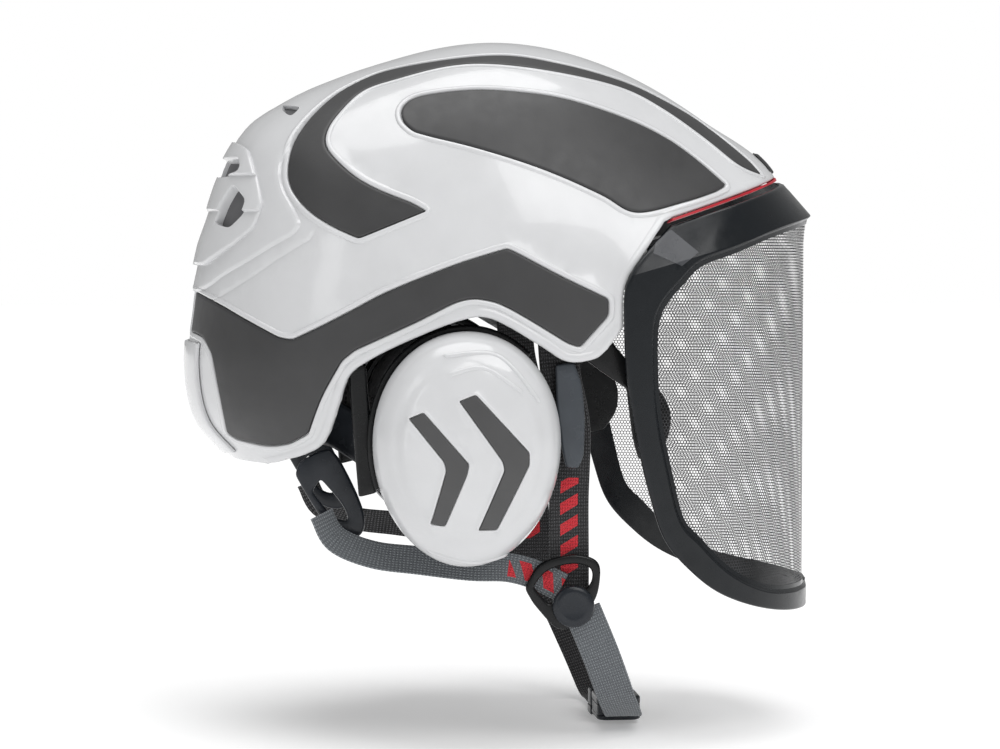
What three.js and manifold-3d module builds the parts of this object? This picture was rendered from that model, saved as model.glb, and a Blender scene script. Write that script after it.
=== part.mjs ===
// Forestry helmet with a flip-up mesh visor, two ear muffs and a chin strap.
// Millimetres. +X is the wearer's left, -Y is forward, +Z is up.
// Shapes are drawn in the side plane: f is the distance forward (-Y) and u the distance up.
import * as THREE from "three";
import { mergeVertices } from "three/addons/utils/BufferGeometryUtils.js";
import Module from "manifold-3d";

const wasm = await Module();
wasm.setup();

// ---------------------------------------------------------------- driving dimensions
const GAP = 0.35;                       // running gap between neighbouring pieces
const SEAT_HEIGHT = 30;                 // height of the head opening's centre in the side plane
const CENTRE = { f: 8, u: 5 };          // centre of the dome's side-view curve
const HALF_WIDTH = 104;                 // dome half-width at that centre
const DOME_POWERS = { side: 2.5, width: 2.1 };
const SHELL_WALL = 3;
const RECESS = 1.2;                     // depth of the pockets that hold the panels
const PANEL_PROUD = 0.3;

// Radius of the dome's side-view curve against the angle from straight forward, in degrees.
const DOME_RADII = [
  [26, 172.5], [42, 159], [59, 151.5], [84, 145.7], [104, 141.2], [116, 142.2], [128, 146.3],
  [137, 149.3], [147, 144.5], [157, 138.4], [174, 136], [186, 138.8], [197, 139], [206, 132],
  [222, 126], [245, 140], [270, 155], [300, 160], [330, 156], [360, 154],
];
// The same curve for the inner liner, which follows the head instead of the peak.
const LINER_RADII = [
  [20, 118], [42, 124], [60, 130], [84, 135], [104, 134], [128, 137], [147, 136],
  [174, 129], [197, 130], [222, 118], [250, 140], [290, 150], [340, 124],
];

// Side-view outlines, each a list of smooth stretches that meet at corners.
const SHELL_EDGE = [
  [[-91, -54], [-73, -47], [-66, -40], [-61, -25], [-56, -10], [-46, -2], [-28, 7], [-5, 16],
    [10, 17], [32, 5], [45, -3], [56, -3], [64, 1], [73, 13]],
  [[73, 13], [73, 28], [76, 37], [83, 47], [94, 62]],
  [[98, 64], [160, 83]],
];
const STRIPE_OUTLINE = [
  [[-19, 67], [-51, 54]],
  [[-51, 54], [-64, 60], [-75, 68], [-82, 78], [-83, 88], [-79, 101], [-68, 115], [-52, 127],
    [-28, 136], [18, 142], [50, 138], [81, 130], [102, 121], [123, 109], [144, 91]],
  [[150, 84], [136, 89], [120, 102], [100, 116], [80, 126], [49, 133], [17, 137], [-5, 136],
    [-29, 130], [-46, 124], [-58, 113], [-64, 104], [-64, 96], [-54, 85], [-43, 78], [-26, 71]],
];
const LEAF_OUTLINE = [
  [[-24, 104], [-29, 109], [-29, 115.5], [-22, 121], [-4, 124], [16, 124.5], [47, 121], [77, 112], [97, 103],
    [112, 93], [128, 79]],
  [[122, 76], [105, 71], [80, 66], [64, 74], [44, 83], [25, 90], [2, 97], [-16, 101.5], [-24, 104]],
];
const LOWER_OUTLINE = [
  [[-127, 28], [-114, 22], [-105, 17], [-88, 8]],
  [[-82, 7], [-68, 14], [-53, 22], [-40, 29], [-21, 37], [-2, 44], [18, 50]],
  [[26, 46], [43, 37], [66, 26]],
  [[66, 18], [52, 3]],
  [[46, 5], [21, 20], [9, 25], [-4, 25], [-25, 15], [-53, 2]],
  [[-59, -3], [-68, -20], [-74, -38]],
  [[-82, -43], [-92, -45], [-107, -43]],
  [[-112, -40], [-119, -2]],
  [[-123, 6], [-130, 8]],
];
const LINER_EDGE = [
  [[-160, 34], [-90, 34], [-64, 32], [10, 38], [60, 34], [78, 46], [96, 56], [160, 60]],
];
const SEAL_OUTLINE = [[97, 60.6], [160, 80], [180, 85.8], [180, 88], [160, 82.6], [97.4, 63.2]];
const REAR_BLOCK_OUTLINE = [
  [[-104, 104], [-88, 100], [-84, 84], [-92, 62], [-124, 44], [-150, 44], [-150, 104]],
];

const REAR_BLOCK = { halfWidth: 26, lift: 1.6, slotHeights: [66, 84] };
const BUMPER_OUTLINE = [[-150, 3], [-122, 3], [-119, -20], [-112, -38], [-112, -52], [-150, -52]];
const BUMPER = { halfWidth: 34, lift: 2.2 };
const CATCH_OUTLINE = [[142, 86.5], [160, 86.5], [180, 95], [142, 95]];
const CATCH = { halfWidth: 11, lift: 1.8 };

// Visor: a U in plan, cut by side-view outlines.
const VISOR = { rear: 60, reach: 119, halfWidth: 102.2, wall: 2.4, powers: [2.3, 2] };
const FRAME_OUTLINE = [
  [[98, 60], [85, 47], [78, 37], [75.6, 28], [75.6, 11], [76.4, -12], [81, -44], [86, -67], [93, -88],
    [106, -103], [122, -115], [145, -124], [170, -129], [200, -131]],
  [[200, -131], [200, 90], [160, 78.6]],
];
const WINDOW_OUTLINE = [
  [[200, 64], [170, 59], [150, 54], [130, 47], [112, 41], [103, 33], [94, 23], [90, 12], [90, -12],
    [92, -32], [97, -56], [103, -78], [112, -88], [125, -101], [140, -110], [158, -115], [200, -118]],
];
const CREASE = { f: 110, u: 46, slope: 0.275, flare: 2.5, flareHeight: 14 };
const MESH_MARGIN = 3;                 // how far the mesh reaches behind the frame
const MESH_WALL = 0.6;
const MESH_INSET = 3.4;                // depth of the mesh below the frame's outer face
const ARM_PLATE = { inner: 85.4, outer: 88.4 };
const ARM_OUTLINE = [
  [[48, 4], [60, -6], [76, -17]],
  [[76, -17], [79, -40], [82, -51]],
  [[89, -50], [96, -40], [97, -28], [93, -19]],
  [[86, -14], [70, 4], [66, 14], [56, 18], [47, 13]],
];
const GUIDE = { f: 84, u: -41, length: 6, height: 10 };

// Ear muffs.
const CUP = { f: -1, u: -44, halfLength: 44, halfHeight: 55, rim: 99 };
const YOKE = { inner: 0.96, outer: 1.05, near: 89.5, far: 93.5 };
const MUFF_POST = { f: -52, x: 89.5, width: 9, thickness: 4, bottom: -66, top: -6 };
const CHEVRON_SMALL = [
  [-30, -28], [-23, -25], [-2, -49], [-3, -54], [-13, -78], [-20, -77], [-13, -52], [-14, -48],
];
const CHEVRON_LARGE = [
  [-7, -20], [1, -17], [26, -44], [26, -50], [11, -80], [2, -80], [14, -52], [13, -48],
];

// Head suspension: ellipses in plan about the head's centre.
const HEAD = { f: -2, halfLength: 99, halfWidth: 79, crown: 95 };
const BAND = { height: 26, wall: 1.8, tilt: 8, end: 156 };
const SWEATBAND = { end: 62, wall: 5, margin: 2 };
const CRADLE = { foot: 62, top: 162, strap: 18, outer: 2, inner: 0.6 };
const CROWN_PAD = { radius: 34, wall: 6 };
const NAPE = { from: 118, to: 242, bottom: -34, top: -10, grow: -6, wall: 2.4, horn: 22 };
const NAPE_PAD = { overhang: 8, wall: 5 };

// Straps. A route is a list of [distance to the side, f, u] along the strap's middle.
const WEBBING = { width: 19, narrow: 14, chin: 18, wall: 1.6 };
const FRONT_ROUTE = [
  [-92.5, 42, 14], [-92, 44, -10], [-89, 49, -36], [-84, 49, -70], [-77.6, 50, -98], [-77.6, 50, -118],
];
const REAR_ROUTE = [
  [-76.5, -68, -76], [-78, -61, -88], [-82, -44, -95], [-83, -22, -98], [-83, 2, -101], [-81, 20, -102],
  [-80, 34, -106], [-80, 46, -112],
];
const CHIN_ROUTE = [[80, 56, -123], [74, 66, -146], [62, 75, -168]];
const STRAP_GUIDE = {
  near: 93.7, far: 96.7,
  outline: [[[41, -6], [49, -5], [57, -24], [57, -46], [50, -56], [43, -50], [41, -30]]],
};
const HANGER = {
  near: 67, far: 70.5,
  outline: [[[-78, -52], [-64, -46], [-55, -58], [-47, -78], [-50, -88], [-62, -86], [-72, -72], [-80, -58]]],
  slot: [[[-72, -66], [-62, -78], [-55, -80], [-58, -72], [-68, -60]]],
};
const DIVIDER = {
  near: 82, far: 85, capF: 51, capU: -120.5, capRadius: 10, capHeight: 3,
  outline: [[[28, -112], [34, -101], [44, -97], [54, -96], [63, -99.5], [64, -108], [61, -119], [50, -130],
    [43, -131], [32, -119]]],
  hole: [[[32, -111], [38, -104], [46, -101], [54, -100.5], [60, -103], [60, -109], [56, -113], [47, -113],
    [40, -120]]],
};
const BUCKLE = { f: 82, u: -181, strapDrop: 4 };

// ---------------------------------------------------------------- geometry helpers

// Turns a geometry inside out when its faces point inwards.
function outward(geometry) {
  const merged = mergeVertices(stripped(geometry), 1e-3);
  const index = merged.index.array;
  const point = merged.attributes.position;
  const a = new THREE.Vector3();
  const b = new THREE.Vector3();
  const c = new THREE.Vector3();
  let volume = 0;
  for (let i = 0; i < index.length; i += 3) {
    a.fromBufferAttribute(point, index[i]);
    b.fromBufferAttribute(point, index[i + 1]);
    c.fromBufferAttribute(point, index[i + 2]);
    volume += a.dot(b.cross(c));
  }
  if (volume < 0) {
    for (let i = 0; i < index.length; i += 3) {
      [index[i + 1], index[i + 2]] = [index[i + 2], index[i + 1]];
    }
  }
  return merged;
}

function stripped(geometry) {
  const copy = geometry.clone();
  copy.deleteAttribute("normal");
  copy.deleteAttribute("uv");
  return copy;
}

function solid(geometry) {
  const merged = outward(geometry);
  return new wasm.Manifold(new wasm.Mesh({
    numProp: 3,
    vertProperties: new Float32Array(merged.attributes.position.array),
    triVerts: new Uint32Array(merged.index.array),
  }));
}

function toGeometry(body) {
  const mesh = body.getMesh();
  const geometry = new THREE.BufferGeometry();
  geometry.setAttribute("position", new THREE.BufferAttribute(new Float32Array(mesh.vertProperties), 3));
  geometry.setIndex(new THREE.BufferAttribute(new Uint32Array(mesh.triVerts), 1));
  return geometry;
}

// The body on the other side of the helmet's middle plane.
function mirrored(body) {
  return solid(toGeometry(body).scale(-1, 1, 1));
}

// Largest single body, which drops slivers that a cut leaves behind.
function mainBody(body) {
  const pieces = body.decompose();
  return pieces.reduce((best, piece) => (piece.volume() > best.volume() ? piece : best));
}

// Moves every point of a geometry by a rule.
function moved(geometry, rule) {
  const point = geometry.attributes.position;
  for (let i = 0; i < point.count; i += 1) {
    point.setXYZ(i, ...rule(point.getX(i), point.getY(i), point.getZ(i)));
  }
  return geometry;
}

// A box whose three 0..1 coordinates are sent to a place by a rule.
function mappedBox(segments, place) {
  const box = new THREE.BoxGeometry(1, 1, 1, ...segments);
  return moved(box, (x, y, z) => place(x + 0.5, y + 0.5, z + 0.5));
}

function outlineShape(stretches) {
  const shape = new THREE.Shape();
  stretches.forEach((stretch, i) => {
    const points = stretch.map(([f, u]) => new THREE.Vector2(f, u));
    if (i === 0) {
      shape.moveTo(points[0].x, points[0].y);
    } else if (shape.currentPoint.distanceTo(points[0]) > 1e-6) {
      shape.lineTo(points[0].x, points[0].y);
    }
    if (points.length > 2) {
      shape.splineThru(points.slice(1));
    } else {
      shape.lineTo(points[1].x, points[1].y);
    }
  });
  return shape;
}

// The outline of straight-sided points, drawn in by a margin (a negative margin lets it out).
function shrunk(points, margin) {
  const turn = Math.sign(THREE.ShapeUtils.area(points)) * margin;
  const inward = (from, to) => {
    const along = to.clone().sub(from).normalize();
    return new THREE.Vector2(-along.y, along.x);
  };
  return points.map((point, i) => {
    const before = inward(points[(i + points.length - 1) % points.length], point);
    const after = inward(point, points[(i + 1) % points.length]);
    const miter = Math.max(0.4, 1 + before.dot(after));
    return before.add(after).multiplyScalar(turn / miter).add(point);
  });
}

// The corners of an outline made of smooth stretches, with an even spacing between given points.
function outlinePoints(stretches, margin = 0) {
  const points = outlineShape(stretches).getPoints(1);
  const separate = points.filter((point, i) => point.distanceTo(points[(i + 1) % points.length]) > 0.05);
  return shrunk(separate, margin);
}

function vectors(list) {
  return list.map(([f, u]) => new THREE.Vector2(f, u));
}

// A prism of a side-view outline between two distances from the middle plane.
function sidePrism(points, from, to) {
  const shape = new THREE.Shape(points);
  const geometry = new THREE.ExtrudeGeometry(shape, { depth: to - from, bevelEnabled: false });
  return solid(moved(geometry, (f, u, x) => [-(from + x), -f, u]));
}

function sideBox(from, to, f, u, length, height) {
  const corners = [[-1, -1], [1, -1], [1, 1], [-1, 1]];
  const points = corners.map(([a, b]) => new THREE.Vector2(f + a * length / 2, u + b * height / 2));
  return sidePrism(points, from, to);
}

// Smooth radius at an angle, from a closed list of [degrees, radius].
function radiusAt(table, degrees) {
  const count = table.length;
  const at = (i) => {
    const turn = Math.floor(i / count);
    const [angle, radius] = table[i - turn * count];
    return [angle + 360 * turn, radius];
  };
  let angle = ((degrees % 360) + 360) % 360;
  if (angle < table[0][0]) {
    angle += 360;
  }
  let i = 0;
  while (at(i + 1)[0] < angle) {
    i += 1;
  }
  const [a0, r0] = at(i - 1);
  const [a1, r1] = at(i);
  const [a2, r2] = at(i + 1);
  const [a3, r3] = at(i + 2);
  const t = (angle - a1) / (a2 - a1);
  const slope1 = (r2 - r0) / (a2 - a0) * (a2 - a1);
  const slope2 = (r3 - r1) / (a3 - a1) * (a2 - a1);
  return (2 * t ** 3 - 3 * t ** 2 + 1) * r1 + (t ** 3 - 2 * t ** 2 + t) * slope1
    + (3 * t ** 2 - 2 * t ** 3) * r2 + (t ** 3 - t ** 2) * slope2;
}

// The dome: a closed surface whose side view is the radius table and whose width swells to the middle.
function dome(table, offset, around = 34, rings = 16) {
  const sphere = new THREE.SphereGeometry(1, around, rings);
  return solid(moved(sphere, (x, y, z) => {
    const share = Math.min(1, Math.hypot(x, z));
    const angle = THREE.MathUtils.radToDeg(Math.atan2(z, x));
    const radius = share * (radiusAt(table, angle) + offset);
    const width = (HALF_WIDTH + offset)
      * Math.max(0, 1 - share ** DOME_POWERS.side) ** (1 / DOME_POWERS.width);
    const turn = Math.hypot(x, z) || 1;
    return [Math.sign(y) * width, -(CENTRE.f + radius * x / turn), CENTRE.u + radius * z / turn];
  }));
}

// A flat ribbon along a route: points are [x, f, u], across is the direction of its width.
function ribbon(route, across, width, wall, steps) {
  const curve = new THREE.CatmullRomCurve3(route.map(([x, f, u]) => new THREE.Vector3(x, -f, u)));
  return solid(mappedBox([1, 1, steps], (a, b, c) => {
    const middle = curve.getPointAt(c);
    const ahead = curve.getTangentAt(c);
    const [x, f, u] = across(c);
    const wide = new THREE.Vector3(x, -f, u);
    wide.addScaledVector(ahead, -wide.dot(ahead)).normalize();
    const thick = new THREE.Vector3().crossVectors(ahead, wide).normalize();
    middle.addScaledVector(wide, (a - 0.5) * width).addScaledVector(thick, (b - 0.5) * wall);
    return middle.toArray();
  }));
}

// A band that follows the head's ellipse in plan, from one angle to another (0 is forward, + is to the left).
function headBand({ grow, wall, from, to, bottom, top, steps }) {
  return solid(mappedBox([steps, 1, 1], (a, b, c) => {
    const angle = THREE.MathUtils.degToRad(from + (to - from) * a);
    const lift = typeof top === "function" ? top(a) : top;
    const base = typeof bottom === "function" ? bottom(a) : bottom;
    const out = grow + wall * c;
    const x = (HEAD.halfWidth + out) * Math.sin(angle);
    const f = HEAD.f + (HEAD.halfLength + out) * Math.cos(angle);
    return [x, -f, base + (lift - base) * b];
  }));
}

// ---------------------------------------------------------------- materials
function plastic(color, roughness = 0.45) {
  return new THREE.MeshStandardMaterial({ color, roughness, metalness: 0 });
}
const WHITE = plastic(0xe6e6e8, 0.25);
const DARK_GREY = plastic(0x4b4b4c, 0.5);
const CHARCOAL = plastic(0x33383d, 0.45);
const BLACK = plastic(0x151617, 0.4);
const RED = plastic(0xc01a28, 0.4);
const GREY_WEB = plastic(0x6f7479, 0.9);
const BLACK_WEB = plastic(0x1b1b1c, 0.9);
const SOFT = plastic(0x1c1d1f, 0.95);
const STEEL_MESH = new THREE.MeshStandardMaterial({ color: 0x1a1a1b, roughness: 0.5, metalness: 0.6 });

// ---------------------------------------------------------------- assembly
const helmet = new THREE.Group();
helmet.position.z = -SEAT_HEIGHT;

function addPart(name, body, material) {
  const mesh = new THREE.Mesh(toGeometry(mainBody(body)), material);
  mesh.name = name;
  helmet.add(mesh);
}

// Adds a piece of the right-hand side and its mirror image.
function addPair(name, body, material) {
  addPart(`${name}_right`, body, material);
  addPart(`${name}_left`, mirrored(mainBody(body)), material);
}

// ---------------------------------------------------------------- shell and panels
const outer = dome(DOME_RADII, 0);
const recessFloor = dome(DOME_RADII, -RECESS);
const panelFloor = dome(DOME_RADII, GAP - RECESS);
const panelTop = dome(DOME_RADII, PANEL_PROUD);

const FAR = 140;                         // beyond every piece of the helmet
const PANEL_START = 12;                  // panels stay this far from the middle plane

function addShell() {
  const keep = outlinePoints([...SHELL_EDGE, [[230, 104], [230, 220]], [[-200, 220], [-200, -54]]]);
  let shell = outer.subtract(dome(DOME_RADII, -SHELL_WALL)).intersect(sidePrism(keep, -FAR, FAR));
  for (const outline of [STRIPE_OUTLINE, LEAF_OUTLINE, LOWER_OUTLINE]) {
    const pocket = sidePrism(outlinePoints(outline), PANEL_START, FAR).subtract(recessFloor);
    shell = shell.subtract(pocket).subtract(mirrored(pocket));
  }
  const { halfWidth } = REAR_BLOCK;
  const block = sidePrism(outlinePoints(REAR_BLOCK_OUTLINE), -halfWidth, halfWidth).subtract(recessFloor);
  addPart("outer_shell", shell.subtract(block), WHITE);
}

function addPanels() {
  const layer = panelTop.subtract(panelFloor);
  const panel = (outline) => sidePrism(outlinePoints(outline, GAP), PANEL_START + GAP, FAR).intersect(layer);
  addPair("stripe_insert", panel(STRIPE_OUTLINE), DARK_GREY);
  addPair("leaf_insert", panel(LEAF_OUTLINE), DARK_GREY);
  addPair("lower_insert", panel(LOWER_OUTLINE), DARK_GREY);
}

// The gilled block at the back of the crown: a raised plate with two air slots.
function addRearVent() {
  const layer = dome(DOME_RADII, REAR_BLOCK.lift).subtract(panelFloor);
  const half = REAR_BLOCK.halfWidth - GAP;
  let block = sidePrism(outlinePoints(REAR_BLOCK_OUTLINE, GAP), -half, half).intersect(layer);
  for (const height of REAR_BLOCK.slotHeights) {
    const slot = sideBox(-18, 18, -115, height, 60, 6);
    block = block.subtract(slot);
  }
  addPart("rear_vent_cover", block, WHITE);
}

function addBumper() {
  const layer = dome(DOME_RADII, BUMPER.lift).subtract(dome(DOME_RADII, GAP));
  const block = sidePrism(vectors(BUMPER_OUTLINE), -BUMPER.halfWidth, BUMPER.halfWidth);
  addPart("rear_bumper", block.intersect(layer), WHITE);
}

function addLiner() {
  const keep = outlinePoints([...LINER_EDGE, [[230, 60], [230, 220]], [[-200, 220], [-200, 34]]]);
  const layer = dome(LINER_RADII, -4, 26, 14).subtract(dome(LINER_RADII, -9, 26, 14));
  addPart("inner_liner", layer.intersect(sidePrism(keep, -FAR, FAR)), BLACK);
}

function addFrontSeal() {
  const layer = dome(DOME_RADII, 0.6).subtract(dome(DOME_RADII, -SHELL_WALL));
  addPart("front_seal", sidePrism(vectors(SEAL_OUTLINE), -FAR, FAR).intersect(layer), RED);
}

function addFrontCatch() {
  const layer = dome(DOME_RADII, CATCH.lift).subtract(dome(DOME_RADII, GAP));
  const block = sidePrism(vectors(CATCH_OUTLINE), -CATCH.halfWidth, CATCH.halfWidth);
  addPart("front_catch", block.intersect(layer), DARK_GREY);
}

// ---------------------------------------------------------------- head suspension
function addSuspension() {
  const slope = Math.sin(THREE.MathUtils.degToRad(BAND.tilt));
  const tilt = (angle) => SEAT_HEIGHT + slope * HEAD.halfLength * Math.cos(angle);
  const ring = (from, to, offset) => (a) => {
    const angle = THREE.MathUtils.degToRad(from + (to - from) * a);
    return tilt(angle) + offset;
  };
  const half = BAND.height / 2;
  // The headband is one strip that runs round the head and stops either side of the adjuster.
  addPart("headband", headBand({
    grow: 0, wall: BAND.wall, from: -BAND.end, to: BAND.end, steps: 36,
    bottom: ring(-BAND.end, BAND.end, -half), top: ring(-BAND.end, BAND.end, half),
  }), BLACK);
  const { end, wall, margin } = SWEATBAND;
  addPart("sweatband", headBand({
    grow: -wall - GAP, wall, from: -end, to: end, steps: 20,
    bottom: ring(-end, end, -half - margin), top: ring(-end, end, half + margin),
  }), SOFT);
  addPart("crown_cradle", crownStraps(), BLACK_WEB);
  addPart("crown_pad", crownPad(), SOFT);
}

function headCap(grow) {
  const cap = new THREE.SphereGeometry(1, 28, 16);
  return solid(moved(cap, (x, y, z) => [
    x * (HEAD.halfWidth + grow),
    -(HEAD.f + z * (HEAD.halfLength + grow)),
    SEAT_HEIGHT + y * (HEAD.crown + grow),
  ]));
}

// Two webbing bands that cross on the crown and end just above the headband.
function crownStraps() {
  const { foot, top, strap, outer: over, inner: under } = CRADLE;
  const layer = headCap(over).subtract(headCap(under));
  const middle = (foot + top) / 2;
  const along = sideBox(-strap / 2, strap / 2, HEAD.f, middle, 2 * FAR, top - foot);
  const across = sideBox(-FAR, FAR, HEAD.f, middle, strap, top - foot);
  return layer.intersect(along.add(across));
}

function crownPad() {
  const layer = headCap(CRADLE.inner - GAP).subtract(headCap(-CROWN_PAD.wall));
  const post = new THREE.CylinderGeometry(CROWN_PAD.radius, CROWN_PAD.radius, HEAD.crown, 20);
  const column = solid(moved(post, (x, y, z) => [x, -(HEAD.f + z), SEAT_HEIGHT + HEAD.crown + y]));
  return layer.intersect(column);
}

// Nape parts: a curved cradle behind the head, its pad, and the size adjuster at the middle.
function addNape() {
  const { from, to, bottom, top, grow, wall, horn } = NAPE;
  const drop = (a) => horn * Math.abs(2 * a - 1) ** 3;
  addPart("nape_cradle", headBand({
    grow, wall, from, to, steps: 28,
    bottom: (a) => bottom - drop(a), top: (a) => top - drop(a),
  }), CHARCOAL);
  const pad = NAPE_PAD;
  addPart("nape_pad", headBand({
    grow: grow - pad.wall - GAP, wall: pad.wall, from: from - pad.overhang, to: to + pad.overhang, steps: 28,
    bottom: (a) => bottom - pad.overhang - drop(a), top: (a) => top + 2 - drop(a) / 3,
  }), SOFT);
  addPair("strap_hanger", strapHanger(), CHARCOAL);
}

// A charcoal hook with a slot that the rear strap loops through.
function strapHanger() {
  const plate = sidePrism(outlinePoints(HANGER.outline), HANGER.near, HANGER.far);
  return plate.subtract(sidePrism(outlinePoints(HANGER.slot), 0, FAR));
}

// The adjuster is measured from the back of the headband: + is backwards.
const ADJUSTER = { u: 16, front: -11, back: 4, width: 58, height: 26, spindle: 2 };

function adjusterBox([x0, x1], [y0, y1], [z0, z1]) {
  const rear = HEAD.halfLength - HEAD.f;
  return solid(mappedBox([1, 1, 1], (a, b, c) => [
    x0 + (x1 - x0) * a, rear + y0 + (y1 - y0) * b, ADJUSTER.u + z0 + (z1 - z0) * c,
  ]));
}

function adjusterRod(radius, from, to, sides) {
  const rear = HEAD.halfLength - HEAD.f;
  const rod = new THREE.CylinderGeometry(radius, radius, to - from, sides);
  return solid(moved(rod, (x, y, z) => [x, rear + (from + to) / 2 + y, ADJUSTER.u + z]));
}

// A flat housing behind the headband's gap, two racks that slide through it, and the knob behind it.
function addAdjuster() {
  const { front, back, width, height, spindle } = ADJUSTER;
  const tunnel = adjusterBox([-width, width], [-5.7, -2.5], [-8, 8]);
  const bore = adjusterRod(spindle + GAP, -3, back + 1, 12);
  const housing = adjusterBox([-width / 2, width / 2], [front, back], [-height / 2, height / 2]);
  addPart("adjuster_housing", housing.subtract(tunnel).subtract(bore), CHARCOAL);
  addPart("rack_right", adjusterBox([-38, 12], [-5.3, -2.9], [-7.4, -0.4]), BLACK);
  addPart("rack_left", adjusterBox([-12, 38], [-5.3, -2.9], [0.4, 7.4]), BLACK);
  const wheel = adjusterRod(14, back + GAP, back + 9, 24);
  addPart("adjuster_knob", wheel.add(adjusterRod(spindle, -2.2, back + 4, 12)), BLACK);
}

// ---------------------------------------------------------------- visor
// Height of the crease where the visor's wall turns into its sloping peak.
function creaseHeight(f) {
  return CREASE.u + (f - CREASE.f) * CREASE.slope;
}

// A point of the visor's U: side is -1..1 from right to left, inset is the depth below the outer face.
function visorPoint(side, u, inset) {
  const angle = side * Math.PI / 2;
  const [lengthPower, widthPower] = VISOR.powers;
  const forward = Math.max(0, Math.cos(angle)) ** (2 / lengthPower);
  const sideways = Math.abs(Math.sin(angle)) ** (2 / widthPower);
  const reach = VISOR.reach - inset;
  const width = VISOR.halfWidth - inset;
  const crease = creaseHeight(VISOR.rear + VISOR.reach * forward);
  const above = Math.max(0, u - crease);
  const flare = CREASE.flare * THREE.MathUtils.smoothstep(u, crease - CREASE.flareHeight, crease) * forward;
  const lean = above * (0.4 + 0.5 * forward);
  return [
    Math.sign(side) * (width - lean * (1 - forward) - lean * 0.3) * sideways,
    -(VISOR.rear + (reach + flare - lean) * forward),
    u,
  ];
}

function visorLayer(from, to, levels) {
  const across = 24;
  return solid(mappedBox([across, levels.length - 1, 1], (a, b, c) => {
    const u = levels[Math.round(b * (levels.length - 1))];
    return visorPoint(2 * a - 1, u, from + (to - from) * c);
  }));
}

const FRAME_LEVELS = [-134, 30, 44, 52, 60, 68, 76, 88];
const MESH_LEVELS = [-134, 30, 44, 52, 60, 70];

function addVisor() {
  const body = visorLayer(0, VISOR.wall, FRAME_LEVELS);
  const outline = sidePrism(outlinePoints(FRAME_OUTLINE), -FAR, FAR);
  const window = sidePrism(outlinePoints(WINDOW_OUTLINE), -FAR, FAR);
  let frame = mainBody(body.intersect(outline).subtract(window));
  const block = sideBox(ARM_PLATE.outer + GAP, 98, GUIDE.f, GUIDE.u, GUIDE.length, GUIDE.height)
    .subtract(outsideOfVisor());
  frame = frame.add(block).add(mirrored(block));
  addPart("visor_frame", frame, CHARCOAL);
  const lens = visorLayer(MESH_INSET, MESH_INSET + MESH_WALL, MESH_LEVELS);
  const edge = sidePrism(outlinePoints(WINDOW_OUTLINE, -MESH_MARGIN), -FAR, FAR);
  addPart("visor_mesh", lens.intersect(edge), STEEL_MESH);
}

// Everything beyond the middle of the visor frame's wall.
function outsideOfVisor() {
  return visorLayer(VISOR.wall / 2, -30, FRAME_LEVELS);
}

function addVisorArms() {
  const plate = sidePrism(outlinePoints(ARM_OUTLINE), ARM_PLATE.inner, ARM_PLATE.outer);
  addPair("visor_arm", plate, BLACK);
}

// ---------------------------------------------------------------- ear muffs
// A point of the cup's egg-shaped plan at a share of its radius and an angle from forward.
function cupPoint(share, angle, x) {
  const egg = 1 + 0.05 * Math.sin(angle);
  const f = CUP.f + share * CUP.halfLength * egg * Math.cos(angle);
  const u = CUP.u + share * CUP.halfHeight * Math.sin(angle);
  return [-x, -f, u];
}

function cupLathe(profile, segments = 24) {
  const points = profile.map(([share, x]) => new THREE.Vector2(share, x));
  const lathe = new THREE.LatheGeometry(points, segments);
  return solid(moved(lathe, (x, y, z) => cupPoint(Math.hypot(x, z), Math.atan2(z, x), y)));
}

// The outer face of the cup, from the middle of the lid to the rim.
const CUP_FACE = [
  [0, 25], [0.35, 24.6], [0.62, 22.6], [0.8, 17.5], [0.84, 15.5], [0.95, 9], [1, 3], [1, 0],
];
const CUP_INSIDE = [[0.94, 0], [0.94, 2], [0.88, 7], [0.74, 14], [0.4, 20.5], [0, 21]];

function cupProfile(profile, shift = 0) {
  return profile.map(([share, x]) => [share, CUP.rim + x + shift]);
}

// A solid plug of the cup's outer shape, moved in or out, that trims the chevrons.
function cupPlug(shift) {
  return cupLathe(cupProfile([...CUP_FACE, [0, 0]], shift));
}

function addCup() {
  let cup = cupLathe(cupProfile([...CUP_FACE, ...CUP_INSIDE]));
  const inlayLayer = cupPlug(0.3).subtract(cupPlug(GAP - RECESS));
  const floor = cupPlug(-RECESS);
  for (const [name, outline] of [["chevron_small", CHEVRON_SMALL], ["chevron_large", CHEVRON_LARGE]]) {
    const points = vectors(outline);
    cup = cup.subtract(sidePrism(points, CUP.rim + 6, FAR).subtract(floor));
    addPair(name, sidePrism(shrunk(points, GAP), CUP.rim + 6, FAR).intersect(inlayLayer), DARK_GREY);
  }
  addPair("cup_shell", cup, WHITE);
}

function addMuffInside() {
  addPair("cup_plate", cupLathe(cupProfile([
    [0.93, -GAP], [0.93, -2.2], [0.5, -2.2], [0.5, -GAP], [0.93, -GAP],
  ])), BLACK);
  addPair("ear_cushion", cupLathe(cupProfile([
    [0.88, -2.6], [0.88, -12], [0.8, -16], [0.66, -16], [0.56, -12], [0.56, -2.6], [0.88, -2.6],
  ])), SOFT);
}

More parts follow.
